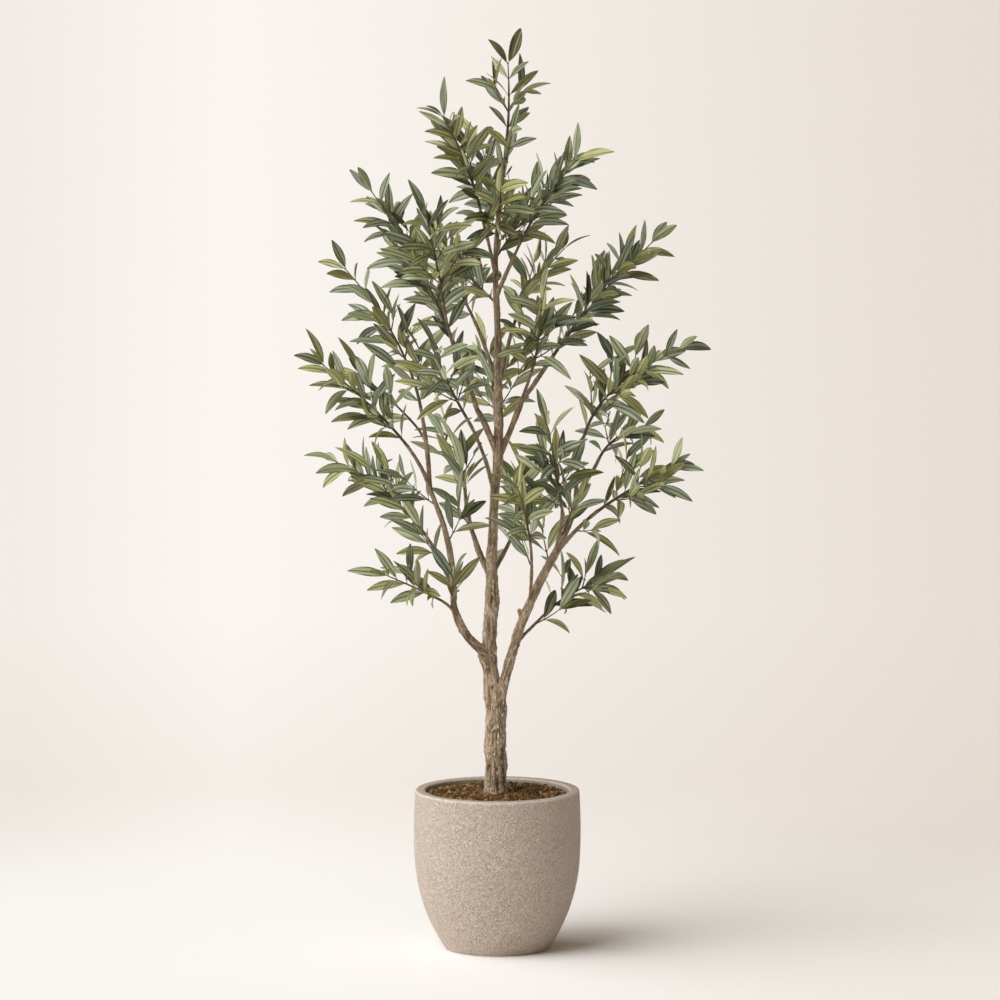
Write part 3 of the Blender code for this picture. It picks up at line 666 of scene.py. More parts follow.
# %% The potting mix's finish
potting_mix, soil_shader, place = finish_of("potting_mix", 0.95)
tone = place.node("Attribute", {"attribute_name": "tone"}, output="Fac")
SOIL_COLOURS = (
    (0.00, colour(30, 19, 10)),
    (0.35, colour(86, 60, 31)),
    (0.65, colour(132, 96, 52)),
    (0.88, colour(192, 154, 100)),
    (1.00, colour(130, 108, 68)),
)
base = tone.node("ValToRGB", {"stops": SOIL_COLOURS}, {"Fac": tone})
peat = place.grain(0.0012, detail=2.0)
connect((peat.between(0.35, 0.75) * 0.55).blend(base, colour(54, 38, 24)), soil_shader, "Base Color")
bump(peat, soil_shader, distance=0.0006, strength=0.8)
bed = bed_heap.build("potting_mix_bed", [potting_mix])
dress(bed, ["potting_mix"])
crumbs = crumb_heap.build("potting_mix_crumbs", [potting_mix], crisp_from=50)
dress(crumbs, ["potting_mix"])

# %% [markdown]
# ## Centre lines of the limbs
#
# A tree is easiest to draw by its centre lines. The trunk sways through a few stations. Each bough springs
# from its carrier at a height, or runs on from its carrier's tip, and bends through one place to its own
# tip. These are the lines that the plain model was built on, so every new piece lands where its solid is. A
# few are corrected for the bark that comes on top: the two low boughs leave the trunk lower or higher, so
# that their forks open at the right height, the left one stands on a knee that runs down into the trunk,
# and some widths near them differ by a millimetre or two.

# %% The trunk's stations and the boughs
Station = namedtuple("Station", "height across width")
TRUNK_STATIONS = (
    Station(0.3038, -0.002, 0.0420),
    Station(0.385, -0.004, 0.0392),
    Station(0.495, -0.005, 0.0410),
    Station(0.522, -0.011, 0.0308),
    Station(0.550, -0.0125, 0.0290),
    Station(0.595, -0.015, 0.0270),
    Station(0.670, -0.010, 0.0262),
    Station(0.735, -0.010, 0.0235),
    Station(0.785, -0.010, 0.0190),
    Station(0.885, -0.005, 0.0175),
    Station(0.965, 0.001, 0.0195),
    Station(1.070, 0.002, 0.0175),
    Station(1.170, 0.002, 0.0148),
    Station(1.270, -0.002, 0.0122),
    Station(1.360, -0.003, 0.0105),
    Station(1.470, 0.007, 0.0082),
    Station(1.590, 0.019, 0.0060),
)
FLARE_WIDTH = 0.0095
FLARE_HEIGHT = 0.011

Bough = namedtuple("Bough", "name carrier springs bend tip widths spray", defaults=(None,))
BOUGHS = (
    # the low bough on the left, its fork, and what grows from it
    Bough("left_low_bough", "trunk", 0.575, (-0.061, -0.016, 0.619), (-0.085, -0.030, 0.680),
          (0.0205, 0.0135)),
    Bough("left_lowest_limb", "left_low_bough", 0.640, (-0.093, -0.045, 0.678), (-0.111, -0.060, 0.693),
          (0.0065, 0.0052), (-0.205, -0.145, 0.752)),
    Bough("left_low_limb", "left_low_bough", None, (-0.091, -0.040, 0.780), (-0.130, -0.050, 0.905),
          (0.0122, 0.0095)),
    Bough("left_mid_limb", "left_low_limb", 0.697, (-0.107, -0.005, 0.755), (-0.142, 0.025, 0.811),
          (0.0098, 0.0066), (-0.304, 0.120, 0.936)),
    Bough("left_outer_limb", "left_low_limb", None, (-0.136, -0.030, 0.981), (-0.148, 0.000, 1.059),
          (0.0090, 0.0066), (-0.288, 0.110, 1.317)),
    Bough("left_second_limb", "left_outer_limb", 0.945, (-0.141, -0.018, 1.000), (-0.160, -0.010, 1.028),
          (0.0062, 0.0050), (-0.258, 0.020, 1.122)),
    Bough("left_reach_limb", "left_low_limb", 0.890, (-0.149, -0.065, 0.955), (-0.178, -0.085, 1.002),
          (0.0080, 0.0064), (-0.325, -0.150, 1.161)),
    Bough("left_inner_bough", "trunk", 0.722, (-0.042, 0.045, 0.790), (-0.063, 0.140, 0.880),
          (0.0135, 0.0075), (-0.099, 0.250, 0.994)),
    Bough("left_upper_bough", "trunk", 0.965, (-0.018, -0.008, 1.015), (-0.040, -0.035, 1.062),
          (0.0125, 0.0105)),
    Bough("left_high_limb", "left_upper_bough", None, (-0.060, -0.052, 1.124), (-0.081, -0.075, 1.187),
          (0.0100, 0.0072), (-0.234, -0.140, 1.494)),
    Bough("front_high_limb", "left_high_limb", 1.110, (-0.090, -0.122, 1.214), (-0.104, -0.170, 1.289),
          (0.0072, 0.0060), (-0.132, -0.270, 1.462)),
    Bough("back_left_bough", "trunk", 1.095, (-0.020, 0.050, 1.160), (-0.047, 0.130, 1.219),
          (0.0085, 0.0066), (-0.112, 0.270, 1.327)),
    Bough("left_top_bough", "trunk", 1.320, (-0.020, -0.022, 1.395), (-0.035, -0.045, 1.459),
          (0.0078, 0.0060), (-0.100, -0.120, 1.636)),
    # the low bough on the right, its fork, and what grows from it
    Bough("right_low_bough", "trunk", 0.430, (0.063, -0.040, 0.683), (0.115, -0.060, 0.790),
          (0.0212, 0.0150)),
    Bough("right_lowest_limb", "right_low_bough", 0.600, (0.073, 0.020, 0.634), (0.103, 0.065, 0.657),
          (0.0075, 0.0056), (0.206, 0.145, 0.706)),
    Bough("front_centre_limb", "right_low_bough", 0.680, (0.066, -0.105, 0.775), (0.063, -0.150, 0.820),
          (0.0075, 0.0058), (0.038, -0.270, 0.941)),
    Bough("front_right_limb", "right_low_bough", 0.750, (0.122, -0.120, 0.838), (0.122, -0.180, 0.904),
          (0.0078, 0.0060), (0.093, -0.300, 1.065)),
    Bough("right_outer_limb", "right_low_bough", 0.772, (0.156, -0.090, 0.837), (0.196, -0.120, 0.876),
          (0.0095, 0.0068), (0.325, -0.195, 0.970)),
    Bough("right_fork_limb", "right_low_bough", None, (0.143, -0.035, 0.850), (0.158, -0.010, 0.895),
          (0.0125, 0.0105)),
    Bough("right_short_limb", "right_fork_limb", None, (0.178, 0.020, 0.922), (0.199, 0.055, 0.956),
          (0.0085, 0.0064), (0.278, 0.160, 0.999)),
    Bough("right_reach_limb", "right_fork_limb", 0.875, (0.158, -0.034, 0.962), (0.169, -0.050, 1.015),
          (0.0088, 0.0068), (0.340, -0.115, 1.186)),
    Bough("back_low_bough", "trunk", 0.735, (0.019, 0.040, 0.782), (0.034, 0.080, 0.812),
          (0.0090, 0.0068), (0.046, 0.220, 0.909)),
    # the boughs from the upper trunk
    Bough("front_bough", "trunk", 0.880, (-0.029, -0.078, 0.985), (-0.062, -0.140, 1.063),
          (0.0090, 0.0066), (-0.113, -0.300, 1.205)),
    Bough("back_bough", "trunk", 0.909, (0.006, 0.078, 0.967), (0.004, 0.140, 1.008),
          (0.0095, 0.0070), (-0.022, 0.320, 1.143)),
    Bough("right_upper_bough", "trunk", 0.960, (0.025, 0.000, 1.015), (0.045, -0.002, 1.068),
          (0.0125, 0.0108)),
    Bough("right_high_limb", "right_upper_bough", None, (0.079, 0.020, 1.115), (0.108, 0.045, 1.155),
          (0.0100, 0.0076), (0.293, 0.130, 1.366)),
    Bough("right_rising_limb", "right_upper_bough", 1.045, (0.057, -0.042, 1.108), (0.067, -0.080, 1.143),
          (0.0080, 0.0064), (0.082, -0.230, 1.296)),
    Bough("back_right_bough", "trunk", 1.100, (0.020, 0.050, 1.172), (0.034, 0.100, 1.215),
          (0.0088, 0.0068), (0.126, 0.250, 1.339)),
    Bough("right_top_bough", "trunk", 1.275, (0.022, -0.020, 1.334), (0.046, -0.045, 1.389),
          (0.0082, 0.0062), (0.145, -0.115, 1.551)),
)

Spray = namedtuple("Spray", "name carrier springs tip")
TRUNK_SPRAYS = (
    Spray("crown_top_leaves", "trunk", None, (0.020, 0.000, 1.728)),
    Spray("left_heart_leaves", "trunk", 1.262, (-0.112, 0.100, 1.365)),
    Spray("right_heart_leaves", "trunk", 1.350, (0.070, 0.080, 1.458)),
    Spray("upper_back_leaves", "trunk", 1.430, (-0.030, 0.110, 1.560)),
    Spray("upper_front_leaves", "trunk", 1.390, (0.002, -0.150, 1.495)),
)
print(f"{len(BOUGHS)} boughs and {len(TRUNK_SPRAYS)} sprays on the trunk itself")

# %% [markdown]
# A `Line` holds the points of a centre line and the limb's width at each.


# %% A line with a width
class Line:
    """A centre line: points from foot to tip, with the limb's width at each."""

    def __init__(self, points, widths):
        self.points = [Vector(point) for point in points]
        self.widths = list(widths)

    def directions(self):
        last = len(self.points) - 1
        return [
            (self.points[min(i + 1, last)] - self.points[max(i - 1, 0)]).normalized()
            for i in range(last + 1)
        ]

    def at_height(self, height):
        for low, high in zip(self.points, self.points[1:]):
            if low.z <= height <= high.z:
                return low.lerp(high, (height - low.z) / (high.z - low.z))
        raise ValueError(f"no height {height} on this line")

    def along(self, distance):
        """(place, direction, width) at a distance from the foot."""
        pairs = zip(self.points, self.points[1:], self.widths, self.widths[1:])
        for low, high, width, next_width in pairs:
            span = (high - low).length
            if distance <= span:
                share = distance / span
                return low.lerp(high, share), (high - low).normalized(), width + (next_width - width) * share
            distance -= span
        return self.points[-1].copy(), self.directions()[-1], self.widths[-1]

    def length(self):
        return sum((high - low).length for low, high in zip(self.points, self.points[1:]))


print("a line knows its place, direction and width at any distance")

# %% [markdown]
# A bough is drawn by its foot, one bend and its tip. Curve objects could hold it, but its bark, its twigs
# and the room for its leaves all need plain points, so the curve is worked out here. The trunk uses Hermite
# curves through its stations, so that it sways without corners.

# %% Boughs by their bends, the trunk by its stations
def curved_line(foot, handle, tip, widths, rings):
    """A quadratic curve from foot to tip, drawn towards the handle and evenly tapered."""
    shares = [i / (rings - 1) for i in range(rings)]
    points = [foot * (1 - s) ** 2 + handle * 2 * s * (1 - s) + tip * s**2 for s in shares]
    return Line(points, [widths[0] + (widths[1] - widths[0]) * s for s in shares])


def bent_line(foot, bend, tip, widths, rings):
    """A quadratic curve from foot to tip that passes through the bend."""
    foot, bend, tip = Vector(foot), Vector(bend), Vector(tip)
    t = (bend - foot).length / ((bend - foot).length + (tip - bend).length)
    handle = (bend - foot * (1 - t) ** 2 - tip * t**2) / (2 * t * (1 - t))
    return curved_line(foot, handle, tip, widths, rings)


def trunk_line(rings):
    heights = [station.height for station in TRUNK_STATIONS]
    across = [station.across for station in TRUNK_STATIONS]
    slopes = np.gradient(across, heights)
    points, widths = [], []
    for level in np.linspace(heights[0], heights[-1], rings):
        i = min(np.searchsorted(heights, level, side="right"), len(heights) - 1) - 1
        span = heights[i + 1] - heights[i]
        s = (level - heights[i]) / span
        x = (
            across[i] * (1 + 2 * s) * (1 - s) ** 2
            + across[i + 1] * s**2 * (3 - 2 * s)
            + slopes[i] * span * s * (1 - s) ** 2
            - slopes[i + 1] * span * s**2 * (1 - s)
        )
        plain = np.interp(level, heights, [station.width for station in TRUNK_STATIONS])
        points.append((x, 0, level))
        widths.append(plain + FLARE_WIDTH * math.exp((heights[0] - level) / FLARE_HEIGHT))
    return Line(points, widths)


TRUNK_RINGS = 320
BOUGH_RINGS = 40
limbs = {"trunk": trunk_line(TRUNK_RINGS)}
for bough in BOUGHS:
    carrier = limbs[bough.carrier]
    foot = carrier.points[-1] if bough.springs is None else carrier.at_height(bough.springs)
    limbs[bough.name] = bent_line(foot, bough.bend, bough.tip, bough.widths, BOUGH_RINGS)
total = sum(line.length() for line in limbs.values())
print(f"{len(limbs)} limbs, {total:.1f} m of wood")

# %% [markdown]
# ## Bark
#
# Where a bough leaves the trunk, real wood flows from one into the other. Tubes that merely cross show a
# hard seam, so each tube that springs from another gets a swollen collar at its foot, and a voxel remesh
# then melts the tubes into a skin. The relief is carved in after that: every point finds the limb it
# belongs to, and learns how far up and how far round it sits. Noise that is long up the limb and narrow
# round it makes plates and fissures.

# %% Tubes for all limbs
COLLAR = 0.16  # how much wider a bough is where it leaves its carrier
RUN_BACK = 0.004  # a bough that runs on from another starts this far inside it


def tube_of(heap, line, sides, tone=0.0):
    """A closed tapering tube round a line."""
    side = Vector((1, 0, 0))
    points = []
    for point, direction, width in zip(line.points, line.directions(), line.widths):
        side = (side - direction * side.dot(direction)).normalized()
        across = direction.cross(side)
        points += [tuple(spot) for spot in ring_round(point, side, across, width, sides)]
    tones = np.repeat(np.broadcast_to(np.asarray(tone, float), (len(line.points),)), sides)
    heap.add(points, tube_faces(len(line.points), sides), tone=tones)


def collared(bough):
    """The bough's line with a collar at its foot, or with a foot inside the tip that it runs on from."""
    line = limbs[bough.name]
    if bough.springs is None:
        back = line.points[0] - line.directions()[0] * RUN_BACK
        return Line([back, *line.points], [line.widths[0], *line.widths])
    carrier_width = min(
        zip(limbs[bough.carrier].points, limbs[bough.carrier].widths),
        key=lambda station: (station[0] - line.points[0]).length,
    )[1]
    widths, distance = [], 0.0
    for i, width in enumerate(line.widths):
        if i:
            distance += (line.points[i] - line.points[i - 1]).length
        widths.append(width * (1 + COLLAR * math.exp(-((distance / (0.9 * carrier_width)) ** 2))))
    return Line(line.points, widths)


print(f"collars make a bough's foot {COLLAR:.0%} wider")

# %% [markdown]
# A young trunk that has been trained in a pot keeps the stumps of the twigs that were pruned off it. Each
# is a short tube. The larger ones stand out, and the smaller ones melt into knots.

# %% Knots and stubs of pruned twigs
Stub = namedtuple("Stub", "limb distance turn length width")
STUBS = (
    Stub("right_low_bough", 0.228, 2.75, 0.023, 0.0068),
    Stub("right_low_bough", 0.170, 5.9, 0.013, 0.0078),
    Stub("left_low_bough", 0.072, 3.4, 0.012, 0.0070),
    Stub("left_low_bough", 0.096, 3.0, 0.010, 0.0055),
    Stub("left_low_limb", 0.060, 4.2, 0.009, 0.0050),
    Stub("trunk", 0.365, 0.1, 0.018, 0.0090),
    Stub("trunk", 0.100, 0.2, 0.023, 0.0140),
    Stub("trunk", 0.160, 3.3, 0.023, 0.0120),
    Stub("trunk", 0.455, 3.0, 0.014, 0.0070),
    Stub("trunk", 0.600, 0.4, 0.013, 0.0060),
    Stub("trunk", 0.700, 2.9, 0.011, 0.0050),
)


def stub_line(stub):
    """A short round stump that stands off its limb and leans up along it."""
    place, direction, _ = limbs[stub.limb].along(stub.distance)
    side = (Vector((1, 0, 0)) - direction * direction.x).normalized()
    out = Matrix.Rotation(stub.turn, 3, direction) @ side
    way = (out + direction * 1.1).normalized()
    points = [place + way * stub.length * share for share in (0, 0.5, 0.8, 0.95, 1.0)]
    widths = [stub.width * share for share in (1.3, 1.1, 1.0, 0.92, 0.6)]
    return Line(points, widths)


print(f"{len(STUBS)} stubs")

# %% [markdown]
# The tubes of one skin are collected in one mesh. Blender's Remesh modifier, in its voxel mode, melts them
# together, and a Smooth modifier eases the steps that voxels leave. Thick limbs and thin ones are melted
# apart, so that each skin can have voxels small enough for its own relief.

# %% Two skins
KNEE_PLACES = ((-0.012, 0, 0.518), (-0.020, -0.003, 0.547), (-0.032, -0.007, 0.580))
KNEE = bent_line(*KNEE_PLACES, widths=(0.0200, 0.0155), rings=12)
THICK_LIMBS = {"trunk", "left_low_bough", "left_low_limb", "right_low_bough", "right_fork_limb"}


def skin_of(name, chosen, voxel):
    """One skin over the chosen limbs and their stubs."""
    heap = Heap()
    if "trunk" in chosen:
        tube_of(heap, limbs["trunk"], sides=48)
        tube_of(heap, KNEE, sides=28)
    for bough in BOUGHS:
        if bough.name in chosen:
            tube_of(heap, collared(bough), sides=28)
    for stub in STUBS:
        if stub.limb in chosen:
            tube_of(heap, stub_line(stub), sides=16)
    obj = heap.build(name, [])
    melt = obj.modifiers.new("melt", "REMESH")
    melt.mode = "VOXEL"
    melt.voxel_size = voxel
    ease = obj.modifiers.new("ease", "SMOOTH")
    ease.factor = 0.5
    ease.iterations = 3
    graph = bpy.context.evaluated_depsgraph_get()
    skin = bpy.data.meshes.new_from_object(obj.evaluated_get(graph))
    rough = obj.data
    obj.modifiers.clear()
    obj.data = skin
    skin.name = name
    bpy.data.meshes.remove(rough)
    print(f"{name}: skin of {len(skin.polygons)} faces")
    return obj


main_limbs = skin_of("bark_of_main_limbs", THICK_LIMBS, voxel=0.00135)
thin_limbs = skin_of("bark_of_thin_limbs", set(limbs) - THICK_LIMBS, voxel=0.00125)

# %% [markdown]
# The relief is measured in millimetres and shrinks with the limb: old wood at the foot is knobbly and
# seamed, young limbs are nearly smooth. Broad lumps make the knobs and long ridges the grain. Seams are the
# thin lines where a long noise crosses zero, broken off here and there. Flecks are the tips of a small
# noise, and stand up like lifted scales. How deep each point lies is kept as its tone, so that the finish
# can darken the seams, partly as painted shade, and lighten the ridges and flecks as painted highlights.

# %% The relief of the bark
FULL_RELIEF_WIDTH = 0.040
SAMPLE_STEP = 0.004
LUMPS = (0.022, 0.038, 0.0038)  # size round the limb, size along it, depth
RIDGES = (0.0080, 0.055, 0.0019)
SEAMS = (0.0085, 0.0700, 0.0018)
FLECKS = (0.0036, 0.0080, 0.0016)
FLECK_LEVEL = 0.20  # only the noise above this stands up as a fleck
YOUNG_WIDTH = 0.024  # a limb thinner than this is partly young wood


def samples_of(lines):
    """Every few millimetres of every line: place, axes across it, distance, width and the line's number."""
    samples = []
    for number, line in enumerate(lines):
        steps = max(int(line.length() / SAMPLE_STEP), 2)
        side = Vector((1, 0, 0))
        for i in range(steps + 1):
            distance = line.length() * i / steps
            place, direction, width = line.along(distance)
            side = (side - direction * side.dot(direction)).normalized()
            samples.append((place, direction, side.copy(), direction.cross(side), distance, width, number))
    return samples


def pattern(around, up, along, sizes, seed):
    """Noise that is narrow round the limb and long up it."""
    wide, tall, _ = sizes
    return noise.noise((around / wide + seed, up / wide - seed, along / tall + 3 * seed))


def relief(around, up, along, width, seed):
    """How far the bark stands proud, in metres, and a tone for the finish, with painted highlights on ridges
    and flecks and painted shade in the seams.
    """
    age = min(width / FULL_RELIEF_WIDTH, 1.0)
    strength = 0.14 + 0.86 * age
    warp = 0.35 * pattern(around, up, along, (0.02, 0.03, 0), seed + 40)
    lumps = pattern(around, up, along, LUMPS, seed)
    ridges = 1 - 2 * abs(pattern(around, up, along + warp * 0.02, RIDGES, seed + 11))
    broken = min(max(0.5 + 3 * pattern(around, up, along, LUMPS, seed + 57), 0), 1)
    seams = -broken * max(0.0, 1 - 8 * abs(pattern(around, up, along + warp * 0.01, SEAMS, seed + 23)))
    flecks_and_glints = min(max(0.0, pattern(around, up, along, FLECKS, seed + 31) - FLECK_LEVEL) * 3.5, 1)
    proud = LUMPS[2] * lumps + RIDGES[2] * (ridges - 0.5) + SEAMS[2] * seams + FLECKS[2] * flecks_and_glints
    # The tone paints highlights on the ridges and flecks, and darkens the seams, partly as painted shade.
    tone_with_painted_light = 0.465 + 0.24 * (ridges - 0.45) + 0.28 * seams + 0.26 * flecks_and_glints + 0.14 * lumps
    return proud * strength, 0.5 + (tone_with_painted_light - 0.5) * (0.6 + 0.4 * age)


print(f"knobs stand up to {LUMPS[2] * 1000:.1f} mm proud on old wood")

# %% [markdown]
# Each point of a skin belongs to the limb whose surface it lies nearest to. A search tree over samples of
# all the centre lines finds the few that are near, and the widths decide between them. The point then moves
# out along its normal by the relief at its place on that limb.

# %% Carve both skins
def carve(obj, names):
    """Moves every point of the skin by the bark's relief, and keeps its shade and its limb's width."""
    samples = samples_of([limbs[name] for name in names])
    tree = KDTree(len(samples))
    for index, sample in enumerate(samples):
        tree.insert(sample[0], index)
    tree.balance()
    mesh = obj.data
    count = len(mesh.vertices)
    points = np.empty(count * 3)
    normals = np.empty(count * 3)
    mesh.vertices.foreach_get("co", points)
    mesh.vertex_normals.foreach_get("vector", normals)
    points, normals = points.reshape(-1, 3), normals.reshape(-1, 3)
    tones, youths = np.empty(count), np.empty(count)
    for i in range(count):
        spot = Vector(points[i])
        nearest = min(
            (samples[index] for _, index, _ in tree.find_n(spot, 8)),
            key=lambda sample: (spot - sample[0]).length - sample[5] / 2,
        )
        place, direction, side, across, distance, width, number = nearest
        offset = spot - place
        proud, tones[i] = relief(
            offset.dot(side), offset.dot(across), distance + offset.dot(direction), width, number * 1.7
        )
        youths[i] = 1 - min(width / YOUNG_WIDTH, 1)
        points[i] += normals[i] * proud
    mesh.vertices.foreach_set("co", points.ravel())
    mesh.attributes.new("tone", "FLOAT", "POINT").data.foreach_set("value", tones)
    mesh.attributes.new("youth", "FLOAT", "POINT").data.foreach_set("value", youths)
    mesh.update()
    mesh.shade_smooth()


carve(main_limbs, [name for name in limbs if name in THICK_LIMBS])
carve(thin_limbs, [name for name in limbs if name not in THICK_LIMBS])
print("the relief is carved")

# %% [markdown]
# Olive bark is grey-brown where it is old, with pale ridges and dark cracks, and a warmer, darker brown on
# young limbs. The two numbers kept with each point choose between them. The pale ridges and flecks are
# painted highlights, and the dark cracks are partly their own colour and partly painted shade. On top come
# fine fibres that run upright, and scales whose edges catch the light. Both are noise stretched in height,
# which follows the limbs well enough, because most of them rise steeply. The darker the bark, the duller
# it is.

# %% The bark's finish
bark, bark_shader, place = finish_of("bark", 0.5)
tone = place.node("Attribute", {"attribute_name": "tone"}, output="Fac")
youth = place.node("Attribute", {"attribute_name": "youth"}, output="Fac")
fibres = place.stretched(1, 1, 0.15).grain(0.0030, detail=3.0).between(0.30, 0.70)
scales = place.stretched(1, 1, 0.55).grain(0.0075, detail=3.0, roughness=0.6).between(0.50, 0.57)
stains = place.stretched(1, 1, 0.5).grain(0.020, detail=2.0)
# The palest stops are reached on the ridges and flecks, as painted highlights.
OLD_BARK = (
    (0.00, colour(38, 27, 17)),
    (0.28, colour(104, 84, 61)),
    (0.52, colour(170, 147, 119)),
    (0.78, colour(222, 203, 175)),
    (1.00, colour(244, 233, 214)),
)
YOUNG_BARK = (
    (0.00, colour(48, 35, 25)),
    (0.40, colour(102, 80, 57)),
    (0.70, colour(146, 120, 91)),
    (1.00, colour(184, 162, 132)),
)
mixed = tone + fibres * 0.19 + scales * 0.09 - 0.12
old = tone.node("ValToRGB", {"stops": OLD_BARK}, {"Fac": mixed})
young = tone.node("ValToRGB", {"stops": YOUNG_BARK}, {"Fac": mixed})
base = youth.blend(old, young)
connect((stains.between(0.50, 0.75) * 0.25).blend(base, colour(112, 98, 78)), bark_shader, "Base Color")
connect(0.48 - 0.26 * mixed, bark_shader, "Roughness")
bump(fibres * 0.45 + scales * 0.8, bark_shader, distance=0.0030)
for obj in (main_limbs, thin_limbs):
    obj.data.materials.clear()
    obj.data.materials.append(bark)
dress(main_limbs, sorted(THICK_LIMBS))
dress(thin_limbs, sorted(set(limbs) - THICK_LIMBS))

# %% [markdown]
# ## How a spray grows
#
# Olive leaves stand in pairs, and each pair crosses the one below it. The plain model follows that rule
# with a few large leaves. Here it is carried on at life size: pairs stand closer, young leaves fill some of
# the axils, side shoots branch crosswise, and every shoot ends in two leaves and a bud leaf. A leaf grows
# only where it has room, so leaves seldom pass through one another. Sprays that crowd their neighbours get
# shorter side shoots than those with the air to themselves.

# %% Sizes of the growth rule
STEM_TIP_WIDTH = 0.0021
SHOOT_WIDTHS = (0.0031, 0.0018)
TWIG_SIDES = 6
TWIG_STEP = 0.007
STEM_HANDLE = 0.45
STEM_REACH = 1.025  # leaves here are shorter than the plain ones, so stems reach out this much further
SHOOT_HANDLE = 0.50
PAIR_SPACING = 0.0295
FIRST_PAIR = 0.016
SHOOT_EVERY = 2
SHOOT_SHARE = 0.42  # of the stem beyond it, as the length of a side shoot
SHOOT_SHARES = {
    "left_outer_leaves": 0.22,
    "left_second_leaves": 0.24,
    "left_reach_leaves": 0.32,
    "left_mid_leaves": 0.54,
    "front_leaves": 0.32,
    "front_centre_leaves": 0.16,
    "front_right_leaves": 0.26,
    "right_outer_leaves": 0.52,
    "right_lowest_leaves": 0.54,
    "crown_top_leaves": 0.54,
}
SHORTEST_SHOOT = 0.026
SHOOT_ANGLE = math.radians(42)
LEAF_ANGLE = math.radians(46)
END_LEAF_ANGLE = math.radians(32)
AXIL_ANGLE = math.radians(24)
AXIL_SHARE = 0.26  # of the leaves have a young leaf in their axil
PAIR_TURN = math.radians(90)
FIRST_TURNS = 0.7
TURN_SWAY = math.radians(18)
LIGHT_PULL = 0.26
FULL_LEAF = 0.0755
YOUNG_LEAF = 0.044
BUD_LEAF = 0.020
TAPER = 0.16  # leaves at the ends of a twig are shorter by this share
LEAF_SWAY = 0.19
LEAF_WIDTH_SHARE = 0.228
SPRAY_REACH = 0.135
SPACE_OVERLAP = 0.012  # how far past the halfway line to its neighbour a spray may reach
LEAF_CLEARANCE = 0.0009
TWIG_CLEARANCE = 0.0008
TRIES = 4
SEED = 41
BOX_MARGIN = 0.006
print(f"a pair of leaves every {PAIR_SPACING * 1000:.0f} mm, each about {FULL_LEAF * 1000:.0f} mm long")

# %% [markdown]
# Room is tested with line segments. A leaf is three ribs, a twig is its own centre line, and a leaf fits if
# its ribs stay off every segment that is already there.


# %% Room for a leaf
def segment_distances(starts, ends, other_starts, other_ends):
    """The distance from each segment of one set (rows) to each of another (columns)."""
    tiny = 1e-18
    p, q = starts[:, None], other_starts[None]
    d, e = (ends - starts)[:, None], (other_ends - other_starts)[None]
    r = p - q
    a, c = (d * d).sum(-1), (e * e).sum(-1)
    b, f = (d * e).sum(-1), (e * r).sum(-1)
    g = (d * r).sum(-1)
    spread = np.maximum(a * c - b * b, tiny)
    s = np.clip((b * f - c * g) / spread, 0, 1)
    t = np.clip((b * s + f) / np.maximum(c, tiny), 0, 1)
    s = np.clip((b * t - g) / np.maximum(a, tiny), 0, 1)
    return np.linalg.norm(r + d * s[..., None] - e * t[..., None], axis=-1)


def as_array(vectors):
    return np.array([tuple(vector) for vector in vectors])


SEARCH_MARGIN = 0.03  # longer than half of any segment


class Room:
    """Everything that is already in the crown, as segments with a half width."""

    def __init__(self, most):
        self.starts = np.empty((most, 3))
        self.ends = np.empty((most, 3))
        self.middles = np.empty((most, 3))
        self.halves = np.empty(most)
        self.used = 0

    def take(self, starts, ends, half):
        new = self.used + len(starts)
        self.starts[self.used : new] = starts
        self.ends[self.used : new] = ends
        self.middles[self.used : new] = (starts + ends) / 2
        self.halves[self.used : new] = half
        self.used = new

    def is_free(self, starts, ends, clearance):
        """Whether new segments stay this far off all that is there."""
        middle = (starts.mean(axis=0) + ends.mean(axis=0)) / 2
        reach = np.linalg.norm(np.concatenate([starts, ends]) - middle, axis=1).max()
        away = np.abs(self.middles[: self.used] - middle).max(axis=1)
        near = np.flatnonzero(away < reach + SEARCH_MARGIN)
        if not len(near):
            return True
        gaps = segment_distances(starts, ends, self.starts[near], self.ends[near]) - self.halves[near]
        return gaps.min() > clearance


MOST_SEGMENTS = 400000
room = Room(MOST_SEGMENTS)
for line in limbs.values():
    step = 2 if len(line.points) > BOUGH_RINGS else 1
    centre, widths = as_array(line.points)[::step], np.array(line.widths)[::step]
    room.take(centre[:-1], centre[1:], np.maximum(widths[:-1], widths[1:]) / 2)
low_corner, high_corner = (np.array(corner) for corner in plain_box)
print(f"{room.used} segments of wood to keep clear of")

# %% [markdown]
# ## One leaf
#
# A blade is a row of cross-sections along a gently bent midrib. Each section has two margins, a point half
# way out on either side, and the rib above and below: six points, enough for the shallow fold along the rib
# and the soft swell of each half. The upper side and the pale underside get different finishes.

# %% The blade's sizes
SECTION_PLACES = np.array([0.0, 0.05, 0.13, 0.24, 0.37, 0.50, 0.63, 0.76, 0.87, 0.955])
STALK_SHARE = 0.085
STALK_HALF_WIDTH = 0.00075
BLADE_THICKNESS = 0.00055
SWELL = 0.00050
WIDEST = 0.92  # below 1 the widest place is nearer the tip
FULLNESS = 0.78  # below 1 the blade is fuller towards both ends
FOLDS = (math.radians(8), math.radians(30))
ROLLS = (math.radians(-12), math.radians(62))  # how far blades turn from the side to the sky
TWISTS = (-0.30, 0.30)
LEAST_BEND = 10  # degrees from root to tip, on a leaf that stands upright
LEVEL_BEND = 38  # more on a level one
BEND_SWAY = (0.4, 1.5)
WIDTH_SWAY = (0.84, 1.18)
Leaf = namedtuple("Leaf", "root direction normal length width bend_way bend twist fold tone")
print(f"{len(SECTION_PLACES)} sections to a blade")


# %% [markdown]
# The faces are the same for every leaf, so they are listed once. Only the points are worked out leaf by
# leaf: the midrib bends along an arc, the sections stand across it, and each is folded, twisted and
# swollen.

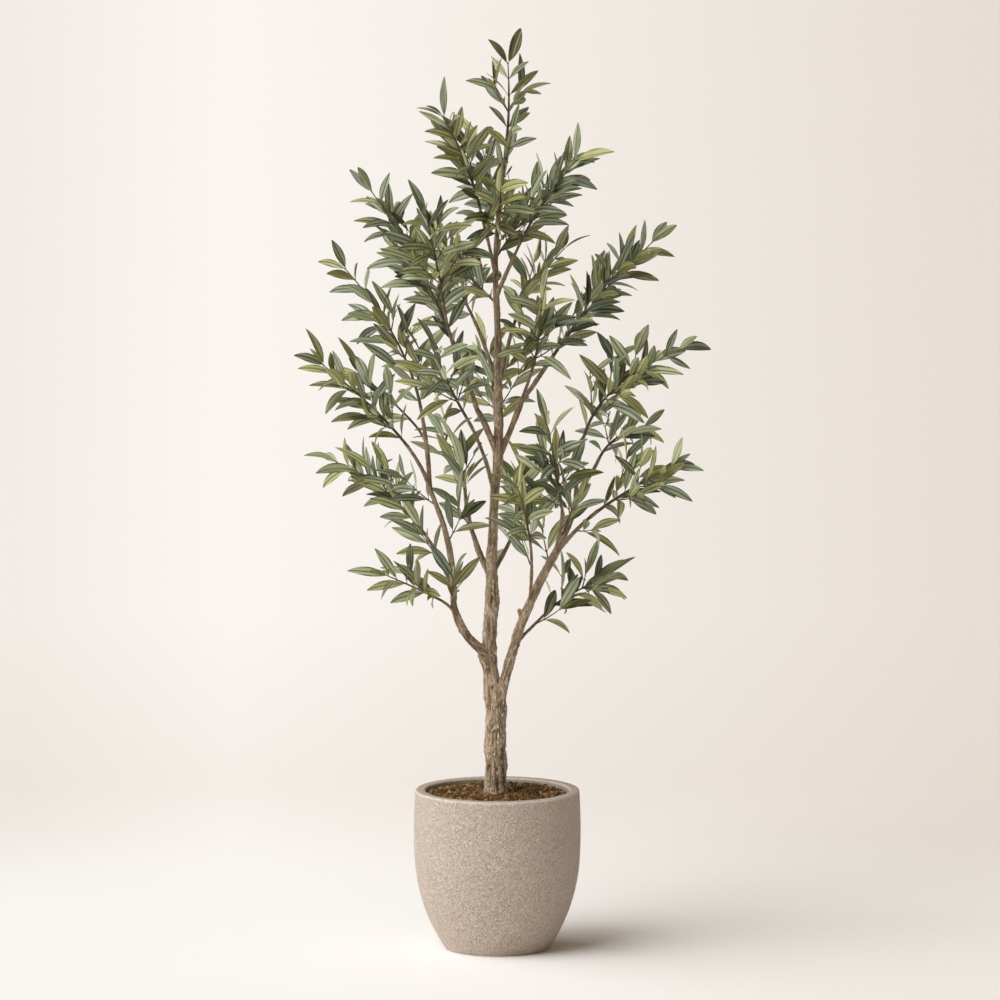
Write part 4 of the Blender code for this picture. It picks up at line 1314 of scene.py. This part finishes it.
# %% The blade's faces and points
def blade_faces():
    """Six faces between one section and the next, four above and two below, and the tip's six."""
    rings = len(SECTION_PLACES) + 1
    faces, finishes = [(5, 4, 3, 2, 1, 0)], [1]
    for ring in range(rings - 1):
        for i in range(6):
            a, b = ring * 6 + i, ring * 6 + (i + 1) % 6
            faces.append((a, b, b + 6, a + 6))
            finishes.append(0 if i < 4 else 1)
    tip = rings * 6
    for i in range(6):
        faces.append((tip - 6 + i, tip - 6 + (i + 1) % 6, tip))
        finishes.append(0 if i < 4 else 1)
    return faces, finishes


BLADE_FACES, BLADE_FINISHES = blade_faces()


def blade_points(leaf):
    """The leaf's points, ring by ring from its root to its tip, and where each lies on the blade."""
    places = np.concatenate([[-STALK_SHARE], SECTION_PLACES, [1.0]]) + STALK_SHARE
    angle = leaf.bend * places / (1 + STALK_SHARE)
    reach = leaf.length / leaf.bend
    forward, down = np.array(leaf.direction), np.array(leaf.bend_way)
    centre = np.array(leaf.root) + reach * (
        np.sin(angle)[:, None] * forward + (1 - np.cos(angle))[:, None] * down
    )
    along = np.cos(angle)[:, None] * forward + np.sin(angle)[:, None] * down
    turned_down = -np.sin(angle)[:, None] * forward + np.cos(angle)[:, None] * down
    third = np.cross(forward, down)
    normal = np.array(leaf.normal)
    up = (normal @ down) * turned_down + (normal @ third) * third
    up /= np.linalg.norm(up, axis=1)[:, None]
    side = np.cross(along, up)
    twist = (leaf.twist * places)[:, None]
    side, up = side * np.cos(twist) + up * np.sin(twist), up * np.cos(twist) - side * np.sin(twist)
    blade = np.clip(places - STALK_SHARE, 0, 1)
    half = leaf.width / 2 * np.sin(math.pi * blade**WIDEST) ** FULLNESS
    half = np.maximum(half, STALK_HALF_WIDTH * (1 - blade))
    fold = leaf.fold * np.clip(blade * 6, 0, 1)
    swell = np.minimum(SWELL, half * 0.35)
    depth = np.maximum(BLADE_THICKNESS * (1 - 0.6 * blade), 0.0002)
    depth[:2] = STALK_HALF_WIDTH
    swell[:2] = STALK_HALF_WIDTH * 0.8
    across = np.stack([half, half / 2, half * 0, -half / 2, -half, half * 0], axis=1)
    rise = np.abs(across) * np.tan(fold)[:, None]
    rise[:, 1] += swell
    rise[:, 3] += swell
    rise[:, 5] -= depth
    points = centre[:, None] + side[:, None] * across[..., None] + up[:, None] * rise[..., None]
    uv = np.stack([across / leaf.width + 0.5, np.repeat(blade[:, None], 6, axis=1)], axis=-1)
    points = np.concatenate([points[:-1].reshape(-1, 3), centre[-1:]])
    return points, np.concatenate([uv[:-1].reshape(-1, 2), [(0.5, 1.0)]])


print(f"a leaf has {len(BLADE_FACES)} faces")

# %% [markdown]
# ## Growing
#
# Leaves are collected by kind, because a kind is one colour: deep green for the old, mid green and olive
# for the grown, yellow-green for the young. Which kinds a spray gets depends on the spray, so that one is
# darker and its neighbour lighter.

# %% Heaps for leaves, twigs and buds
KINDS = ("deep", "green", "olive", "young")
leaf_heaps = {kind: Heap() for kind in KINDS}
twig_heap = Heap()
bud_heap = Heap()
bud_ball = ball(1)
counts = dict.fromkeys(KINDS, 0)
print(f"{len(KINDS)} kinds of leaf")

# %% [markdown]
# Every spray keeps to its own space. That is what leaves air between the sprays, where the sky shows
# through: a place belongs to a spray if it is near the spray's own centre line, and not much nearer to
# another stem. Balls along each stem would do as well, but distances to lines follow a bent stem more
# closely.

# %% A spray's own space
class Space:
    """The space round one centre line."""

    def __init__(self, own_line, other_stems):
        self.own = as_array(own_line.points)
        starts, ends = self.own[:-1], self.own[1:]
        lines = [as_array(other.points) for other in other_stems]
        self.others = [
            line
            for line in lines
            if segment_distances(starts, ends, line[:-1], line[1:]).min() < 2 * SPRAY_REACH
        ]

    def fits(self, starts, ends):
        """Whether segments stay in this space and in the crown's box."""
        points = np.concatenate([starts, ends])
        if (points < low_corner - BOX_MARGIN).any() or (points > high_corner + BOX_MARGIN).any():
            return False
        own = segment_distances(points, points, self.own[:-1], self.own[1:]).min(axis=1)
        if own.max() > SPRAY_REACH:
            return False
        for other in self.others:
            distance = segment_distances(points, points, other[:-1], other[1:]).min(axis=1)
            if (distance - own).min() < -SPACE_OVERLAP:
                return False
        return True


print(f"leaves stay within {SPRAY_REACH * 1000:.0f} mm of their stem")

# %% [markdown]
# A leaf turns its blade partly to the light and partly out of the crown, and bends over under its own
# weight. A few slightly different ways are tried until one has room. If none has, the leaf is left out, as
# on a real twig whose inner leaves have dropped.

# %% Placing a leaf
BUD_SIZE = (0.0011, 0.0011, 0.0018)
BUD_GAP = 0.003  # how far a bud stands out of its twig's middle
AXIL_GAP = 0.004  # how far a young leaf stands above the old one
UPRIGHT = 0.15  # a twig that leans less than this counts as upright
BACKS_OF_UPRIGHTS = 0.05  # blades turn their backs to a line this far behind the trunk
BACKS = 0.09
BACK_SWAY = 0.03
SWAYS = (0.05, 0.07)  # how far a leaf sways on the first try, and how much more on each next one
DROOPS = (0.8, 0.40, 0.12)  # outwards, towards its own back, and at random, against 1 down


def perpendicular(vector, direction):
    """The part of a vector across a direction, at length 1."""
    return (vector - direction * vector.dot(direction)).normalized()


class LeafPlacer:
    """Places leaves in one spray's space. Shares say how common each kind of leaf is there."""

    def __init__(self, space, shares, rng):
        self.space = space
        self.shares = shares
        self.rng = rng

    def facing(self, root, way):
        """Which way a blade faces: sideways out of the crown, rolled part of the way up to the light."""
        rng = self.rng
        aside = Vector((-way.y, way.x, 0))
        if aside.length < UPRIGHT:
            aside = Vector((root.x, root.y - BACKS_OF_UPRIGHTS, 0))
        aside.normalize()
        if aside.dot(Vector((root.x, root.y - BACKS, 0))) + rng.gauss(0, BACK_SWAY) < 0:
            aside.negate()
        aside = perpendicular(aside, way)
        upward = way.cross(aside)
        if upward.z < 0:
            upward.negate()
        roll = rng.uniform(*ROLLS)
        return aside * math.cos(roll) + upward * math.sin(roll)

    def leaf(self, root, direction, length, kind):
        """One leaf, if there is room for it."""
        rng = self.rng
        for attempt in range(TRIES):
            sway = Vector((rng.gauss(0, 1), rng.gauss(0, 1), rng.gauss(0, 1)))
            way = (direction + sway * (SWAYS[0] + SWAYS[1] * attempt)).normalized()
            normal = self.facing(root, way)
            level = 1 - abs(way.z)
            droop = Vector((way.x, way.y, 0)) * DROOPS[0] + Vector((0, 0, -1))
            bend_way = perpendicular(droop - normal * DROOPS[1] + sway * DROOPS[2], way)
            bend = math.radians(LEAST_BEND + LEVEL_BEND * level * rng.uniform(*BEND_SWAY))
            width = length * LEAF_WIDTH_SHARE * rng.uniform(*WIDTH_SWAY)
            leaf = Leaf(
                root, way, normal, length, width, bend_way, bend,
                rng.uniform(*TWISTS), rng.uniform(*FOLDS), rng.random(),
            )
            points, uv = blade_points(leaf)
            ribs = [np.concatenate([points[column:-1:6][2:], points[-1:]]) for column in (0, 2, 4)]
            starts = np.concatenate([rib[:-1] for rib in ribs])
            ends = np.concatenate([rib[1:] for rib in ribs])
            if self.space.fits(starts, ends) and room.is_free(starts, ends, LEAF_CLEARANCE):
                room.take(starts, ends, 0.0)
                leaf_heaps[kind].add(points, BLADE_FACES, leaf.tone, BLADE_FINISHES, uv)
                counts[kind] += 1
                return

    def grown_kind(self):
        return self.rng.choices(KINDS, weights=self.shares)[0]


print(f"{TRIES} tries for each leaf")

# %% [markdown]
# The rule for a twig is the plain model's own, written again: a pair of leaves at every node, each pair
# turned across the last, and on a stem a pair of side shoots at every second node. End leaves are placed
# first, because they draw the outline. The pairs then follow from the tip down.

# %% Growing a twig
AXIL_SWAY = (0.75, 1.25)
BUD_LEAF_SWAY = (0.8, 1.5)
SHOOT_SWAY = 0.15
SHOOT_TONES = (0.45, 1.0)  # from foot to tip, as a twig's age
END_PAIR_GAP = 0.002  # from a twig's tip back to its last pair of leaves
BUD_LEAF_GAP = 0.001


class Grower(LeafPlacer):
    """Grows shoots from a twig and clothes both in leaves."""

    def __init__(self, space, shares, rng, shoot_share=SHOOT_SHARE):
        super().__init__(space, shares, rng)
        self.shoot_share = shoot_share

    def out_of(self, direction, side, hand, angle):
        """The way out of a twig to one side, drawn a little up to the light."""
        out = (direction * math.cos(angle) + side * hand * math.sin(angle)).normalized()
        out.z += LIGHT_PULL * (1 - abs(out.z))
        return out.normalized()

    def pair(self, place, direction, side, angle, size):
        """Two leaves that face each other across a twig, some with a young leaf or a bud in the axil."""
        for hand in (-1, 1):
            out = self.out_of(direction, side, hand, angle)
            self.leaf(place, out, size * (1 + self.rng.uniform(-LEAF_SWAY, LEAF_SWAY)), self.grown_kind())
            if self.rng.random() < AXIL_SHARE:
                inner = self.out_of(direction, side, hand, AXIL_ANGLE)
                length = YOUNG_LEAF * self.rng.uniform(*AXIL_SWAY)
                kind = self.rng.choice(("olive", "young", "young", "green"))
                self.leaf(place + direction * AXIL_GAP, inner, length, kind)
            else:
                spot = np.array(place + out * BUD_GAP)
                bud_heap.add(bud_ball[0] * BUD_SIZE + spot, bud_ball[1], self.rng.random())

    def clothe(self, twig, first_turn, with_shoots):
        """Leaves a twig's length with pairs. A stem also gets side shoots across some pairs."""
        total = twig.length()
        side = twig.directions()[0].orthogonal().normalized()
        turn = first_turn
        pairs = max(round((total - FIRST_PAIR) / PAIR_SPACING), 1)
        nodes, shoots = [], []
        for number in range(pairs):
            distance = FIRST_PAIR + (total - FIRST_PAIR) * number / pairs
            place, direction, _ = twig.along(distance)
            turned_side = Matrix.Rotation(turn, 3, direction) @ perpendicular(side, direction)
            size = FULL_LEAF * (1 - TAPER * abs(2 * (number + 1) / (pairs + 1) - 1) ** 2)
            nodes.append((place, direction, turned_side, size))
            if with_shoots and number % SHOOT_EVERY == 1:
                crosswise = direction.cross(turned_side)
                for hand in (-1, 1):
                    out = self.out_of(direction, crosswise, hand, SHOOT_ANGLE)
                    length = (total - distance) * self.shoot_share
                    length *= 1 + self.rng.uniform(-SHOOT_SWAY, SHOOT_SWAY)
                    shoots.append(self.new_shoot(place, out, length))
            turn += PAIR_TURN + self.rng.uniform(-TURN_SWAY, TURN_SWAY)
        tip, direction = twig.points[-1], twig.directions()[-1]
        turned_side = Matrix.Rotation(turn, 3, direction) @ perpendicular(side, direction)
        self.pair(tip - direction * END_PAIR_GAP, direction, turned_side, END_LEAF_ANGLE, FULL_LEAF)
        length = BUD_LEAF * self.rng.uniform(*BUD_LEAF_SWAY)
        self.leaf(tip - direction * BUD_LEAF_GAP, direction, length, "young")
        for place, direction, turned_side, size in reversed(nodes):
            self.pair(place, direction, turned_side, LEAF_ANGLE, size)
        for shoot in filter(None, shoots):
            self.clothe(shoot, self.rng.uniform(0, math.tau), with_shoots=False)

    def new_shoot(self, place, out, length):
        """A side shoot that bends up to the light, or nothing where it would be too short or has no room."""
        if length < SHORTEST_SHOOT:
            return None
        onward = (out + Vector((0, 0, LIGHT_PULL))).normalized()
        handle = place + out * length * SHOOT_HANDLE
        tip = handle + onward * length * (1 - SHOOT_HANDLE)
        twig = curved_line(place, handle, tip, SHOOT_WIDTHS, max(int(length / TWIG_STEP), 4))
        line = as_array(twig.points)
        starts, ends = line[2:-1], line[3:]
        if not (self.space.fits(starts, ends) and room.is_free(starts, ends, TWIG_CLEARANCE)):
            return None
        room.take(line[1:-1], line[2:], SHOOT_WIDTHS[1] / 2)
        tube_of(twig_heap, twig, TWIG_SIDES, np.linspace(*SHOOT_TONES, len(twig.points)))
        return twig


print(f"side shoots at one node in {SHOOT_EVERY} of a stem")

# %% [markdown]
# Every spray starts with its stem, which runs on from its bough's tip or springs from the trunk. All stems
# take their room before any leaf does, so that no leaf stands where a stem has to pass.

# %% Stems
STEM_FOOT_WIDTH = 0.0046  # where a stem springs from the trunk itself
STEM_FIT = 0.98  # of the bough's tip, where it runs on from a bough
STEM_TONES = (0.05, 0.9)  # from foot to tip

stem_sprays = list(TRUNK_SPRAYS)
for bough in BOUGHS:
    if bough.spray:
        stem_sprays.append(Spray(bough.name.rsplit("_", 1)[0] + "_leaves", bough.name, None, bough.spray))

stems = []
for spray in stem_sprays:
    carrier = limbs[spray.carrier]
    tip = Vector((spray.tip[0] * STEM_REACH, spray.tip[1] * STEM_REACH, spray.tip[2]))
    if spray.springs is None:
        way = carrier.directions()[-1]
        foot = carrier.points[-1] - way * RUN_BACK
        foot_width = carrier.widths[-1] * STEM_FIT
    else:
        foot = carrier.at_height(spray.springs)
        way = (tip - foot).normalized()
        foot_width = STEM_FOOT_WIDTH
    handle = foot + way * (tip - foot).length * STEM_HANDLE
    rings = int((tip - foot).length / TWIG_STEP)
    stem = curved_line(foot, handle, tip, (foot_width, STEM_TIP_WIDTH), rings)
    stems.append(stem)
    line = as_array(stem.points)
    room.take(line[:-1], line[1:], foot_width / 3)
    tube_of(twig_heap, stem, TWIG_SIDES + 2, np.linspace(*STEM_TONES, len(stem.points)))
print(f"{len(stems)} stems")

# %% [markdown]
# The sprays are then grown one by one. Each has its own seed, so one can be changed without the others
# drawing other numbers, and its own share of dark leaves.

# %% Sprays
DARK_SHARES = (0.25, 0.55)

for number, (spray, stem) in enumerate(zip(stem_sprays, stems)):
    rng = random.Random(SEED + number)
    others = [line for line in stems if line is not stem]
    dark = rng.uniform(*DARK_SHARES)
    shoot_share = SHOOT_SHARES.get(spray.name, SHOOT_SHARE)
    grower = Grower(Space(stem, others), (dark, 0.45, 0.70 - dark, 0.08), rng, shoot_share)
    grower.clothe(stem, number * FIRST_TURNS, with_shoots=True)
print(f"{sum(counts.values())} leaves after the sprays: {counts}")

# %% [markdown]
# Leafy twigs also stand along the boughs themselves, well before their ends, and along the upper trunk.
# They fill the crown below and above its heart, where few sprays reach. Low down only the two lowest limbs
# carry any, so that the forks stay bare.

# %% Twigs along the boughs and the upper trunk
TWIG_SPACING = 0.074
TWIG_LENGTHS = (0.032, 0.085)
FIRST_TWIG = 0.55  # of a bough's length
LOWEST_TWIG = 0.72
HEART = (0.90, 1.38)  # between these heights the sprays fill the crown by themselves
GOLDEN_TURN = 2.4  # radians from one twig to the next
ONWARD, OUTWARD = 0.75, 0.70  # how a twig leans out of its limb
SUNK = 0.3  # of the limb's width, from its middle to the twig's foot

for number, name in enumerate([bough.name for bough in BOUGHS] + ["trunk"]):
    rng = random.Random(SEED * 3 + number)
    line = limbs[name]
    grower = Grower(Space(line, []), (0.35, 0.40, 0.25, 0.05), rng)
    distance = line.length() * FIRST_TWIG
    turn = rng.uniform(0, math.tau)
    while distance < line.length():
        place, direction, width = line.along(distance)
        leafy = place.z > LOWEST_TWIG or name.endswith("lowest_limb")
        if leafy and not HEART[0] < place.z < HEART[1]:
            side = Matrix.Rotation(turn, 3, direction) @ direction.orthogonal().normalized()
            out = (direction * ONWARD + side * OUTWARD).normalized()
            twig = grower.new_shoot(place + side * width * SUNK, out, rng.uniform(*TWIG_LENGTHS))
            if twig:
                grower.clothe(twig, rng.uniform(0, math.tau), with_shoots=False)
        distance += TWIG_SPACING
        turn += GOLDEN_TURN
print(f"{sum(counts.values())} leaves with the boughs: {counts}")

# %% [markdown]
# ## Leaf finishes
#
# An olive leaf is dark and a little glossy above, and silvery and dull below. Each half swells softly, and
# the light on the swell is painted in: a painted sheen along the middle of each half, and painted shade at
# the margin and the midrib. The blade's own coordinates say where a spot is: 0 to 1 across the blade and 0
# to 1 along it.

# %% Upper side and underside
def leaf_finish(name, roughness, dark, light, painted_sheen):
    """One side of a leaf: two tones of one green, a painted streaky sheen on each half, and painted shade at
    the midrib and margin.
    """
    material, shader, place = finish_of(name, roughness)
    tone = place.node("Attribute", {"attribute_name": "tone"}, output="Fac")
    blade = place.node("UVMap", {"uv_map": "blade"})
    across = blade.node("SeparateXYZ", {}, {0: blade}, output="X")
    from_rib = (across - 0.5).size()
    from_half = (from_rib - 0.20).size()
    long_way = {"Vector": blade.stretched(10, 1.2, 0), "W": tone * 60, "Scale": 1.0, "Roughness": 0.6}
    streaks = blade.node("TexNoise", {"noise_dimensions": "4D"}, long_way).between(0.36, 0.66)
    mottle = place.grain(0.009, detail=2.0)
    green = (tone * 0.75 + mottle * 0.35 + streaks * 0.15 - 0.15).blend(dark, light)
    # A streaky sheen painted along the middle of each half.
    painted_sheen_share = (1 - from_half.between(0.07, 0.26)) * (tone * 0.48 + streaks * 0.50 - 0.05)
    green = painted_sheen_share.blend(green, painted_sheen)
    # Painted shade at the margin, in the leaf's dark tone.
    margin = from_rib.between(0.38, 0.48) * 0.75
    green = margin.blend(green, dark)
    # Painted shade along the midrib, in the leaf's dark tone.
    rib = (1 - from_rib.between(0.014, 0.050)) * 0.60
    connect(rib.blend(green, dark), shader, "Base Color")
    shader.inputs["Specular IOR Level"].default_value = 0.35
    connect(roughness + 0.16 * (mottle - 0.5), shader, "Roughness")
    bump(mottle, shader, distance=0.0005, strength=0.4)
    return material


# Each kind: a dark tone, also used for the painted shade at margin and midrib; a light tone; and the colour
# of the painted sheen.
LEAF_COLOURS = {
    "deep": (colour(22, 32, 13), colour(76, 86, 50), colour(190, 199, 168)),
    "green": (colour(32, 42, 14), colour(106, 115, 61), colour(202, 209, 170)),
    "olive": (colour(55, 59, 17), colour(132, 132, 63), colour(206, 208, 158)),
    "young": (colour(86, 87, 34), colour(150, 148, 78), colour(202, 200, 146)),
}
UNDERSIDES = {
    "deep": (colour(74, 86, 54), colour(144, 156, 118), colour(204, 212, 182)),
    "green": (colour(84, 92, 50), colour(152, 160, 112), colour(206, 212, 174)),
    "olive": (colour(98, 100, 48), colour(158, 158, 98), colour(206, 206, 154)),
    "young": (colour(110, 108, 50), colour(166, 162, 98), colour(206, 204, 150)),
}
for kind in KINDS:
    above = leaf_finish(f"leaf_{kind}", 0.36, *LEAF_COLOURS[kind])
    below = leaf_finish(f"leaf_{kind}_underside", 0.70, *UNDERSIDES[kind])
    leaves = leaf_heaps[kind].build(f"leaves_{kind}", [above, below], crisp_from=24)
    dress(leaves, spray_nodes)
print("all leaves are dressed")

# %% [markdown]
# ## Twigs and buds
#
# A twig is brown where it leaves the bough and green where it is still growing. Its tone number runs from 0
# at the foot to 1 at the tip, so one finish does for all of them.

# %% The twigs' finish
twig_finish, twig_shader, place = finish_of("twig", 0.55)
tone = place.node("Attribute", {"attribute_name": "tone"}, output="Fac")
TWIG_COLOURS = (
    (0.00, colour(78, 60, 45)),
    (0.45, colour(84, 66, 46)),
    (0.80, colour(96, 86, 50)),
    (1.00, colour(118, 118, 66)),
)
streaks = place.stretched(1, 1, 0.3).grain(0.002, detail=2.0)
base = tone.node("ValToRGB", {"stops": TWIG_COLOURS}, {"Fac": tone})
connect((streaks.between(0.4, 0.8) * 0.4).blend(base, colour(66, 54, 38)), twig_shader, "Base Color")
bump(streaks, twig_shader, distance=0.0004, strength=0.6)
twigs = twig_heap.build("twigs", [twig_finish], crisp_from=60)
dress(twigs, spray_nodes)
buds = bud_heap.build("buds", [twig_finish])
dress(buds, spray_nodes)

# %% [markdown]
# ## Sizes
#
# The dressed tree has to stay the size of the plain model, so the plain model's box is printed.

# %% Print the plain box
print("plain  ", [[round(value, 4) for value in corner] for corner in plain_box])
